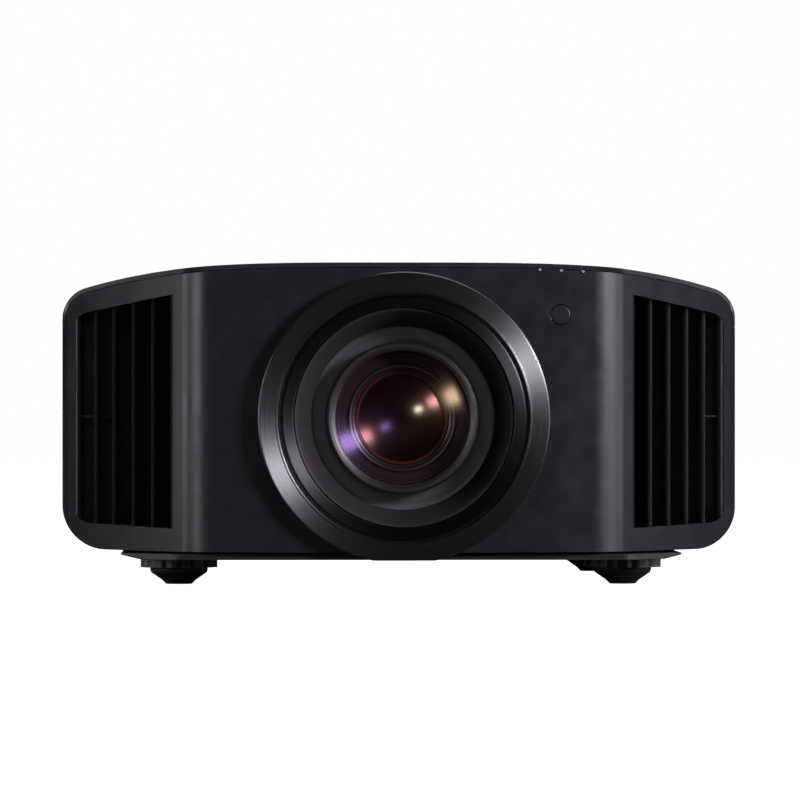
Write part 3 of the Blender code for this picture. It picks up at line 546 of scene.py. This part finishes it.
def crown(side, top):
    """The crowned top from right to left, drawn in by side at the walls and top under the crown."""
    radius = CROWN_R - side
    middle_x = HALF_WIDTH - CROWN_R
    x = middle_x
    for _ in range(20):
        lean = math.atan(CROWN_FALL * CROWN_POWER * x ** (CROWN_POWER - 1))
        x = middle_x + radius * math.sin(lean)
    middle_z = crown_z(x, top) - radius * math.cos(lean)
    half = [(HALF_WIDTH - side, SHOULDER_Z)]
    half += arc(middle_x, middle_z, radius, 0, math.pi / 2 - lean, 18)
    for i in range(1, ARCH_STEPS):
        along = x * (1 - i / ARCH_STEPS)
        half.append((along, crown_z(along, top)))
    return half + [(0, TOP_Z - top)] + mirrored(half[::-1], -1)


def bottom():
    """The lower corners and the gently crowned bottom, from left to right."""
    left = arc(-HALF_WIDTH + CORNER_R, CORNER_Z, CORNER_R, math.pi, 1.5 * math.pi, 20)
    right = arc(HALF_WIDTH - CORNER_R, CORNER_Z, CORNER_R, 1.5 * math.pi, 2 * math.pi, 20)
    return left + [(0, BOTTOM_Z)] + right


def front_line():
    """The front of the case in plan, from left to right."""
    half = [(FLAT_HALF, PANEL_Y, 0.5), (WING_X, WING_Y, 0.035), (HALF_WIDTH, SIDE_Y, 0.018)]
    left = [(-x, y, r) for x, y, r in reversed(half)]
    return rounded([(-HALF_WIDTH, 0, 0)] + left + half + [(HALF_WIDTH, 0, 0)], 20, closed=False)


def plan(back_y):
    """The whole case in plan."""
    return front_line()[1:-1] + [(HALF_WIDTH, back_y), (-HALF_WIDTH, back_y)]


def wing_y(x):
    """Depth of a wing's face over a point."""
    return WING_Y + (abs(x) - WING_X) * (SIDE_Y - WING_Y) / (HALF_WIDTH - WING_X)


def cheek(offset, steps=24):
    """The rolled cheek in plan, moved into its material by offset."""
    return arc(CHEEK_X, CHEEK_Y + CHEEK_R, CHEEK_R - offset, -math.pi / 2, -math.pi / 2 + CHEEK_TURN, steps)


def vent_outline(inset):
    """A vent's opening as seen from the front, on the +X side."""
    round_r = VENT_CORNER_R - inset
    return rounded([(0.1380 + inset, 0.0400 + inset, 0), (VENT_X - inset, 0.0448 + inset, round_r),
                    (VENT_X - inset, 0.1975 - inset, round_r), (0.209, 0.2038 - inset, 0),
                    (DUCT_X, 0.2110 - inset, 0), (0.1380 + inset, 0.2140 - inset, 0)], 12)


def duct_plan(inset):
    """A vent's duct in plan behind its mouth, with the flared lip on its outer side."""
    lip = [(VENT_X - inset, FLARE_Y[0], 0.006), (VENT_BACK_X - inset, FLARE_Y[1], 0.006)]
    return rounded([(DUCT_X + inset, CUT_FRONT, 0), (VENT_X - inset, CUT_FRONT, 0)] + lip
                   + [(VENT_BACK_X - inset, SPLIT_Y + 0.01, 0), (DUCT_X + inset, SPLIT_Y + 0.01, 0)], 6)


# ---------------------------------------------------------------- case

def make_front_panel():
    """The moulded front, with soft outer edges and crisp vent lips."""
    upper = crown(COVER_SIDE + GAP, COVER_TOP + GAP)
    low_edge = SHOULDER_Z - GAP
    outline = [(HALF_WIDTH, low_edge), (upper[0][0], low_edge)] + upper[1:-1]
    outline += [(upper[-1][0], low_edge), (-HALF_WIDTH, low_edge)] + bottom()
    panel = prism("front_panel_shell", [outline], "Y", CUT_FRONT, SPLIT_Y)
    boolean(panel, "INTERSECT", prism("plan", [plan(0.0)], "Z", 0.0, CUT_TOP))
    soften(panel, 0.0014, 55, 3)
    right = cheek(WALL) + [(DUCT_X - WALL, SPLIT_Y + 0.01)]
    front = [(-FLAT_HALF, PANEL_Y + WALL), (FLAT_HALF, PANEL_Y + WALL)]
    hollow = prism("hollow", [mirrored(right, -1)[::-1] + front + right], "Z", BOTTOM_Z + WALL,
                   TOP_Z - COVER_TOP - 2 * WALL)
    boolean(panel, "DIFFERENCE", hollow)
    for side in (-1, 1):
        face = [(CHEEK_X - 0.002, CUT_FRONT), (CHEEK_X - 0.002, CHEEK_Y)] + cheek(0)
        duct = prism("duct", [mirrored(face + duct_plan(0)[:0:-1], side)], "Z", 0.0, CUT_TOP)
        boolean(duct, "INTERSECT", prism("shape", [mirrored(vent_outline(0), side)], "Y", -0.31, -0.10))
        boolean(panel, "DIFFERENCE", duct)
    for hole in (circle(0, LENS_Z, LENS_HOLE_R), circle(IR_X, IR_Z, IR_HOLE_R, 64)):
        boolean(panel, "DIFFERENCE", prism("hole", [hole], "Y", CUT_FRONT, PANEL_Y + 0.02))
    place(panel, "case", "case", "front_panel")


def make_top_cover():
    """The crowned cover with a softened front lip."""
    lower = CORNER_Z + GAP
    inner_half = HALF_WIDTH - COVER_SIDE
    outer = [(HALF_WIDTH, lower)] + crown(0, 0) + [(-HALF_WIDTH, lower)]
    inner = [(-inner_half, lower)] + crown(COVER_SIDE, COVER_TOP)[::-1] + [(inner_half, lower)]
    cover = prism("top_cover_shell", [outer + inner], "Y", CUT_FRONT, -CUT_FRONT)
    boolean(cover, "INTERSECT", prism("plan", [plan(REAR_Y)], "Z", 0.0, CUT_TOP))
    below = rectangle(-0.26, -0.01, 0.26, SHOULDER_Z)
    boolean(cover, "DIFFERENCE", prism("cut", [below], "Y", -0.31, SPLIT_Y + GAP))
    soften(cover, 0.0006, 50, 2)
    place(cover, "case", "case", "top_cover")


def make_vent_grille(side, tag):
    """Four upright fins with a rounded nose and a level rib, on the fine screen behind them."""
    outline = mirrored(vent_outline(0.0001), side)
    grille = prism("vent_grille_fins_" + tag, [outline], "Y", FIN_BACK_Y - 0.0025, FIN_BACK_Y)
    shape = prism("shape", [mirrored(duct_plan(0.0001), side)], "Z", 0.0, CUT_TOP)
    boolean(shape, "INTERSECT", prism("height", [outline], "Y", -0.28, -0.06))
    fins = []
    for x in FIN_XS:
        nose = wing_y(x) + FIN_RECESS
        curve = [(x - 0.0040 * math.sin(t) ** 0.8, nose + 0.0070 * (1 - math.cos(t)))
                 for t in [math.pi / 2 * i / 12 for i in range(1, 13)]]
        blade = [(x, nose), (x, FIN_BACK_Y - 0.001), (x - 0.0016, FIN_BACK_Y - 0.001),
                 (x - 0.0034, nose + 0.014)] + curve[::-1]
        fins.append(prism("fin", [mirrored(blade, side)], "Z", FIN_LOW, FIN_HIGH))
    rib_line = [(DUCT_X, RIB_Y), (VENT_X, RIB_Y), (VENT_X, RIB_Y + 0.004), (DUCT_X, RIB_Y + 0.004)]
    fins.append(prism("rib", [mirrored(rib_line, side)], "Z", RIB_Z - RIB_HALF, RIB_Z + RIB_HALF))
    boolean(grille, "UNION", *fins)
    boolean(grille, "INTERSECT", shape)
    place(grille, "case", "grille", "vent_grille_" + tag)


def make_vent_lip(side, tag):
    """The rolled lip that takes a vent's outer edge round into its duct."""
    radius = VENT_X - VENT_BACK_X
    front = wing_y(VENT_X) + 0.0006
    roll = arc(VENT_X, front + radius, radius, -math.pi / 2, -math.pi, 14)
    lip_plan = [(VENT_X + 0.0004, front)] + roll + [(VENT_BACK_X, FLARE_Y[1]), (VENT_X + 0.0004, FLARE_Y[1])]
    lip = prism("vent_lip_" + tag, [mirrored(lip_plan, side)], "Z", 0.040, 0.205)
    boolean(lip, "INTERSECT", prism("shape", [mirrored(vent_outline(-0.0003), side)], "Y", -0.31, -0.10))
    place(lip, "case", "case", None)


# ---------------------------------------------------------------- lens

def make_lens_trim():
    """The turned rings that stay on the case."""
    bezel = turned("bezel_ring", rounded_profile([
        (BEZEL_R, GAP, 0.0002), (BEZEL_R, BEZEL_PROUD, 0.0014), (0.0927, BEZEL_PROUD - 0.0010, 0.0003),
        (0.0922, BEZEL_PROUD - 0.0005, 0.0002), (0.0911, BEZEL_PROUD - 0.0005, 0.0004),
        (0.0909, 0.0070, 0.0005), (0.0886, 0.0070, 0.0002), (0.0886, GAP, 0.0002)]), LENS)
    boolean(bezel, "DIFFERENCE", prism("flat", [rectangle(-0.12, -0.01, 0.12, PAN_Z)], "Y", -0.27, -0.24))
    place(bezel, "case", "trim", "lens_bezel", 28)
    inner = turned("bezel_second_ring", rounded_profile([
        (0.0883, -0.0040, 0), (0.0883, 0.0098, 0.0004), (0.0872, 0.0105, 0.0005), (0.0802, 0.0092, 0.0008),
        (0.0795, 0.0075, 0.0004), (0.0795, -0.0040, 0)]), LENS)
    place(inner, "case", "inner_trim", "bezel_inner_ring", 28)
    wall = [(0.0777 - 0.0110 * t, 0.0060 - 0.0300 * t ** 1.15) for t in [i / 14 for i in range(15)]]
    cone = turned("recess_funnel", [(0.0792, -0.0020), (0.0792, 0.0062), (0.0787, 0.0069)] + wall
                  + [(0.0667, -0.0244), (0.0700, -0.0244)], LENS)
    place(cone, "case", "cone", "lens_recess_cone", 28)


def dome(edge_r, edge_h, sag, steps=18):
    """A shallow dome from its crown out to its edge."""
    return [(edge_r * i / steps, edge_h + sag * (1 - (i / steps) ** 2)) for i in range(steps + 1)]


def element(name, body, edge_r, edge_h, front_sag, back_sag, tints, strength, roughness, replaced=None):
    """A lens element domed to the front and to the back, with a coating's tint on either side."""
    back = dome(edge_r, edge_h - ELEMENT_EDGE, -back_sag)[::-1]
    piece = turned(name, dome(edge_r, edge_h, front_sag) + back, LENS, closed=False, steps=128)
    for face, tint in zip(("front", "back"), tints):
        MATERIALS[name + face] = coated_glass("%s_%s_coating" % (name, face), tint, strength, roughness)
    place(piece, body, name + "front", replaced, 50)
    piece.data.materials.append(MATERIALS[name + "back"])
    for polygon in piece.data.polygons:
        polygon.material_index = 0 if polygon.normal.y < 0 else 1


def make_shroud():
    """The concave ring that moves with the lens and hides the gap around it."""
    trough = arc(0.0640, -0.0270, 0.0085, math.radians(12), -math.pi / 2, 18)
    shroud = turned("shroud_cup", [(0.0820, -0.0262), (0.0735, -0.0262), (0.0728, -0.0258)] + trough
                    + [(0.0556, -0.0360), (0.0556, -0.0385), (0.0655, -0.0385), (0.0745, -0.0300),
                       (0.0820, -0.0300)], LENS)
    place(shroud, "horizontal_stage", "cup", "lens_shroud", 35)


def make_barrel():
    """The focus barrel, with the stepped baffle and the cell behind its front glass."""
    barrel = turned("focus_barrel_shell", rounded_profile([
        (0.0489, -0.0210, 0.0002), (0.0494, -0.0180, 0.0006), (0.0512, -0.0162, 0.0008),
        (0.0540, -0.0160, 0.0010), (0.0552, -0.0178, 0.0008), (0.0552, -0.0660, 0),
        (0.0489, -0.0660, 0)]), LENS)
    place(barrel, "focus_group", "rim", "focus_barrel", 28)
    steps = []
    for i in range(5):
        r, h = 0.0482 - 0.0018 * i, -0.0320 - 0.0018 * i
        steps += [(r, h), (r - 0.0003, h - 0.0018)]
    baffle = turned("stepped_baffle", [(0.0486, -0.0312)] + steps + [
        (0.0392, -0.0405), (0.0384, -0.0398), (0.0372, -0.0400), (0.0366, -0.0412), (0.0360, -0.0440),
        (0.0345, -0.0448), (0.0345, -0.0520), (0.0486, -0.0520)], LENS)
    place(baffle, "focus_group", "baffle", None, 28)
    # the red of this ring is a painted reflection of the lens coatings
    painted_red_reflection_ring = turned("baffle_red_line", rounded_profile([
        (0.0344, -0.0455, 0.0002), (0.0336, -0.0442, 0.0003), (0.0329, -0.0442, 0.0002),
        (0.0318, -0.0465, 0.0003), (0.0318, -0.0500, 0.0002), (0.0344, -0.0500, 0.0002)]), LENS)
    place(painted_red_reflection_ring, "focus_group", "red", None, 28)
    grey_line = turned("baffle_grey_line", [
        (0.0391, -0.0404), (0.0384, -0.0395), (0.0373, -0.0397), (0.0367, -0.0410), (0.0372, -0.0416),
        (0.0390, -0.0416)], LENS)
    place(grey_line, "focus_group", "rim", None, 28)
    # the cell's dark red finish is a painted reflection of the coatings' red glow
    cell = turned("second_cell", [(0.0486, -0.0525), (0.0486, -0.0640), (0.0310, -0.0640), (0.0310, -0.0610),
                                  (0.0328, -0.0525)], LENS)
    place(cell, "focus_group", "cell", None, 28)


def make_glass():
    """The coated elements from front to back, and the stop behind them."""
    element("front_glass_element", "focus_group", 0.0487, -0.0215, 0.0130, 0.0130, (AMBER, VIOLET),
            0.018, 0.20, "front_glass")
    element("second_element", "focus_group", 0.0316, -0.0545, 0.0026, 0.0026, (PINK, PINK), 0.035, 0.13)
    element("zoom_glass_element", "zoom_group", 0.0319, -0.0830, 0.0050, 0.0050, (CREAM, CREAM),
            0.03, 0.13, "zoom_glass")
    element("third_element", "horizontal_stage", 0.0260, -0.1240, 0.0055, 0.0055, (BLUE, BLUE), 0.06, 0.15)
    stop = turned("iris_stop", [(0.0448, -0.1420), (0.0090, -0.1440), (0.0090, -0.1450),
                                (0.0448, -0.1440)], LENS)
    place(stop, "horizontal_stage", "hidden", None, 28)


def make_feet():
    """Scalloped dials with a rounded lower edge, and the cones that they turn on."""
    for end in ("front", "rear"):
        for tag in ("left", "right"):
            name = "%s_%s" % (end, tag)
            low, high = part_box("foot_dial_" + name)
            centre = (low + high) / 2
            radius = (high.x - low.x) / 2
            rim = []
            for i in range(DIAL_STEPS):
                angle = math.tau * i / DIAL_STEPS
                wave = max(0.0, -math.cos(DIAL_WAVES * angle + 0.8)) ** 1.5
                rim.append((centre.x + (radius - DIAL_WAVE * wave) * math.cos(angle),
                            centre.y + (radius - DIAL_WAVE * wave) * math.sin(angle)))
            bore = circle(centre.x, centre.y, DIAL_BORE_R, 48)
            dial = prism("dial_" + name, [rim, bore], "Z", low.z, high.z)
            soften(dial, 0.0016, 50, 4)
            place(dial, "foot_dial_" + name, "rubber", "foot_dial_" + name)
            stud = turned("stud_" + name, rounded([
                (0, 0.0400, 0), (0.0060, 0.0400, 0), (0.0060, low.z - GAP, 0),
                (0.0215, low.z - GAP, 0.0008), (0.0205, 0.0085, 0.002), (0.0125, 0.0030, 0.002),
                (0.0103, 0.0008, 0.0006), (0.0095, 0.0, 0.0003), (0, 0.0, 0)], 4),
                (centre.x, centre.y, 0), "Z", 96, closed=False)
            place(stud, "foot_stud_" + name, "rubber", "foot_stud_" + name)


def make_ir_window():
    """A flush dark disc with a soft rim."""
    centre = Vector((IR_X, IR_LOW.y, IR_Z))
    disc = turned("ir_lens", [(0, -0.0002), (0.0050, -0.0002), (0.0066, -0.0003), (0.0070, -0.0006),
                              (0.0072, -0.0012), (0.0072, -0.0040), (0, -0.0040)], centre,
                  steps=64, closed=False)
    place(disc, "case", "window", "ir_window", 40)


def make_leds():
    """Small softened light guides that stand a hair proud of the panel's top edge."""
    for tag in ("left", "middle", "right"):
        low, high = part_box("led_" + tag)
        shape = rounded([(low.x, low.z, 0.0006), (high.x, low.z, 0.0006), (high.x, high.z, 0.0006),
                         (low.x, high.z, 0.0006)], 5)
        guide = prism("light_guide_" + tag, [shape], "Y", low.y - 0.0002, high.y)
        soften(guide, 0.0003, 50, 3)
        place(guide, "case", "lamp", "led_" + tag)


make_front_panel()
make_top_cover()
for vent_side, vent_tag in ((-1, "left"), (1, "right")):
    make_vent_grille(vent_side, vent_tag)
    make_vent_lip(vent_side, vent_tag)
make_lens_trim()
make_shroud()
make_barrel()
make_glass()
make_feet()
make_ir_window()
make_leds()

# ---------------------------------------------------------------- CAD nodes that stay

KEPT = {
    "base_pan": "pan", "rear_panel": "case", "filter_cassette": "grille",
    "power_button": "grille", "input_button": "grille", "menu_button": "grille", "back_button": "grille",
    "ok_button": "grille",
    "lens_barrel": "dark", "zoom_cell": "dark", "light_engine": "dark", "mains_inlet": "dark",
    "exhaust_fan_frame_left": "dark", "exhaust_fan_frame_right": "dark",
    "exhaust_fan_rotor_left": "dark", "exhaust_fan_rotor_right": "dark",
    "light_source": "alloy", "heat_sink": "alloy", "power_supply": "alloy", "lens_mount_frame": "alloy",
    "vertical_carriage": "alloy", "horizontal_carriage": "alloy", "vertical_motor": "alloy",
    "horizontal_motor": "alloy", "focus_motor": "alloy", "zoom_motor": "alloy",
    "vertical_lead_screw": "steel", "horizontal_lead_screw": "steel",
    "focus_pinion": "brass", "zoom_pinion": "brass", "main_board": "board",
    "hdmi_socket_1": "socket", "hdmi_socket_2": "socket", "lan_socket": "socket", "serial_socket": "socket",
    "focus_ring": "gear", "zoom_ring": "gear",
}
for node_name, finish_name in KEPT.items():
    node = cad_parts[node_name]
    node.data.materials.clear()
    node.data.materials.append(MATERIALS[finish_name])

# ---------------------------------------------------------------- stage, lights and camera

FLOOR_SIZE = 30.0
ROOM_LIGHT = 0.012
LIGHT_COLOUR = (0.94, 0.945, 1.0)


def camera_only(tree, seen, unseen):
    """Mixes two shaders so that the first shows to the camera and the second lights the scene."""
    path = tree.nodes.new("ShaderNodeLightPath")
    blend = tree.nodes.new("ShaderNodeMixShader")
    tree.links.new(path.outputs["Is Camera Ray"], blend.inputs[0])
    tree.links.new(unseen.outputs[0], blend.inputs[1])
    tree.links.new(seen.outputs[0], blend.inputs[2])
    return blend.outputs[0]


def stage_floor():
    """A plain pale floor that keeps its light off the object."""
    mesh = bpy.data.meshes.new("floor")
    half = FLOOR_SIZE / 2
    corners = [(-half, -half, 0), (half, -half, 0), (half, half, 0), (-half, half, 0)]
    mesh.from_pydata(corners, [], [(0, 1, 2, 3)])
    floor = linked("floor", mesh)
    paint = bpy.data.materials.new("floor_paint")
    paint.use_nodes = True
    tree = paint.node_tree
    pale = tree.nodes["Principled BSDF"]
    pale.inputs["Base Color"].default_value = (0.10, 0.10, 0.10, 1)
    pale.inputs["Roughness"].default_value = 0.9
    pale.inputs["Emission Color"].default_value = (1, 1, 1, 1)
    pale.inputs["Emission Strength"].default_value = 1.05
    dull = tree.nodes.new("ShaderNodeBsdfDiffuse")
    dull.inputs["Color"].default_value = (0.07, 0.07, 0.07, 1)
    tree.links.new(camera_only(tree, pale, dull), tree.nodes["Material Output"].inputs["Surface"])
    mesh.materials.append(paint)
    floor.location.z = -0.0002


def softbox(name, at, long, wide, radiance):
    """A soft light facing the lens, its long side pointing towards the line of sight."""
    light = bpy.data.lights.new(name, "AREA")
    light.shape = "RECTANGLE"
    light.size = long
    light.size_y = wide
    light.energy = radiance * math.pi * long * wide
    light.color = LIGHT_COLOUR
    lamp = linked(name, light)
    away = (Vector(at) - LENS).normalized()
    sight = Vector((0, -1, 0))
    side = (sight - away * sight.dot(away)).normalized()
    turn = Matrix((side, away.cross(side), away)).transposed()
    lamp.matrix_world = Matrix.Translation(at) @ turn.to_4x4()
    lamp.visible_camera = False
    return lamp


def link_light(lamp, state, *names):
    """Lets a light reach only these pieces (INCLUDE), or keeps it off them (EXCLUDE)."""
    linked_pieces = bpy.data.collections.new(lamp.name + "_pieces")
    for name in names:
        linked_pieces.objects.link(bpy.data.objects[name])
    for entry in linked_pieces.collection_objects:
        entry.light_linking.link_state = state
    lamp.light_linking.receiver_collection = linked_pieces


def sky():
    """A room that is white to the camera and dim for everything else."""
    world = bpy.data.worlds.new("room")
    bpy.context.scene.world = world
    world.use_nodes = True
    tree = world.node_tree
    dim = tree.nodes["Background"]
    dim.inputs["Color"].default_value = (0.90, 0.92, 1.0, 1)
    dim.inputs["Strength"].default_value = ROOM_LIGHT
    seen = tree.nodes.new("ShaderNodeBackground")
    seen.inputs["Color"].default_value = (1, 1, 1, 1)
    seen.inputs["Strength"].default_value = 1.0
    tree.links.new(camera_only(tree, seen, dim), tree.nodes["World Output"].inputs["Surface"])


def toward(azimuth, off_axis, distance):
    """A place seen from the lens at an angle off its axis, in a direction round it, in degrees."""
    tilt, turn = math.radians(off_axis), math.radians(azimuth)
    out = Vector((math.sin(tilt) * math.cos(turn), -math.cos(tilt), math.sin(tilt) * math.sin(turn)))
    return LENS + out * distance


stage_floor()
sky()
key = softbox("key", toward(23, 51, 2.2), 0.55, 0.46, 53.0)
spot = softbox("spot", toward(25, 19, 2.2), 0.22, 0.16, 50.0)
fill = softbox("fill", toward(122, 32, 2.2), 0.90, 0.80, 0.65)
brow = softbox("brow", Vector((0.35, -1.0, 1.9)), 1.6, 0.8, 28.0)
right_box = softbox("right_box", toward(4, 64, 2.0), 0.45, 1.1, 5.1)
left_box = softbox("left_box", toward(177, 53, 2.0), 0.60, 1.1, 5.4)
right_strip = softbox("right_strip", Vector((0.60, -0.29, 0.14)), 0.09, 0.50, 3.4)
left_strip = softbox("left_strip", Vector((-0.60, -0.28, 0.14)), 0.09, 0.50, 4.6)
right_side = softbox("right_side", toward(3, 114, 2.2), 0.55, 1.3, 5.0)
left_side = softbox("left_side", toward(177, 112, 2.2), 0.55, 1.3, 5.0)
overhead = softbox("overhead", Vector((0.6, 0.8, 2.3)), 1.8, 1.8, 3.4)
back_left = softbox("back_left", Vector((-1.3, 2.0, 1.0)), 1.2, 1.0, 16.0)
back_right = softbox("back_right", Vector((1.4, 2.0, 0.8)), 1.2, 1.0, 10.0)
recess_glow = softbox("recess_glow", Vector((0.0, -0.90, 0.04)), 0.60, 0.06, 0.3)
left_lip_light = softbox("left_lip_light", toward(0, 30, 2.2), 0.4, 0.6, 12.0)
right_lip_light = softbox("right_lip_light", toward(180, 30, 2.2), 0.4, 0.6, 11.0)

# which pieces each light reaches
RECESS = ("recess_funnel", "shroud_cup")
RINGS = ("bezel_ring", "bezel_second_ring")
INNER_GLASS = ("second_element", "zoom_glass_element", "third_element")
GLASS = ("front_glass_element",) + INNER_GLASS
COVERS = ("top_cover_shell", "rear_panel")
link_light(key, "EXCLUDE", *COVERS, *INNER_GLASS)
link_light(recess_glow, "INCLUDE", *RECESS)
link_light(spot, "INCLUDE", *GLASS)
link_light(fill, "EXCLUDE", *COVERS, *RINGS, *GLASS)
link_light(brow, "INCLUDE", "top_cover_shell")
link_light(right_box, "EXCLUDE", *COVERS, *RECESS, *RINGS, *GLASS)
link_light(left_box, "EXCLUDE", *COVERS, *RECESS, *RINGS, *GLASS)
link_light(left_lip_light, "INCLUDE", "vent_lip_left")
link_light(right_lip_light, "INCLUDE", "vent_lip_right")
for lamp_object in (right_strip, left_strip):
    link_light(lamp_object, "EXCLUDE", *COVERS, *GLASS)
for lamp_object in (right_side, left_side, overhead):
    link_light(lamp_object, "EXCLUDE", "front_panel_shell", *GLASS)
for lamp_object in (back_left, back_right):
    link_light(lamp_object, "EXCLUDE", "front_panel_shell", "top_cover_shell", *GLASS)

CAMERA_BACK = 4.0               # from the flat middle of the front panel
CAMERA_SIDE = -0.115
CAMERA_Z = 0.1165
AIM_Y = -0.152                  # where the line of sight crosses the middle of the case
SENSOR = 36.0
FOCAL_LENGTH = 249.3            # takes in 0.578 m at the front panel
FRAME_SHIFT = 0.03125
camera = bpy.data.cameras.new("camera")
camera.sensor_width = SENSOR
camera.lens = FOCAL_LENGTH
camera.shift_y = FRAME_SHIFT
camera.clip_end = 60.0
eye = linked("camera", camera)
eye.location = (CAMERA_SIDE, PANEL_Y - CAMERA_BACK, CAMERA_Z)
eye.rotation_euler = (math.pi / 2, 0, math.atan2(CAMERA_SIDE, AIM_Y - PANEL_Y + CAMERA_BACK))
bpy.context.scene.camera = eye
bpy.context.scene.view_settings.view_transform = "Standard"
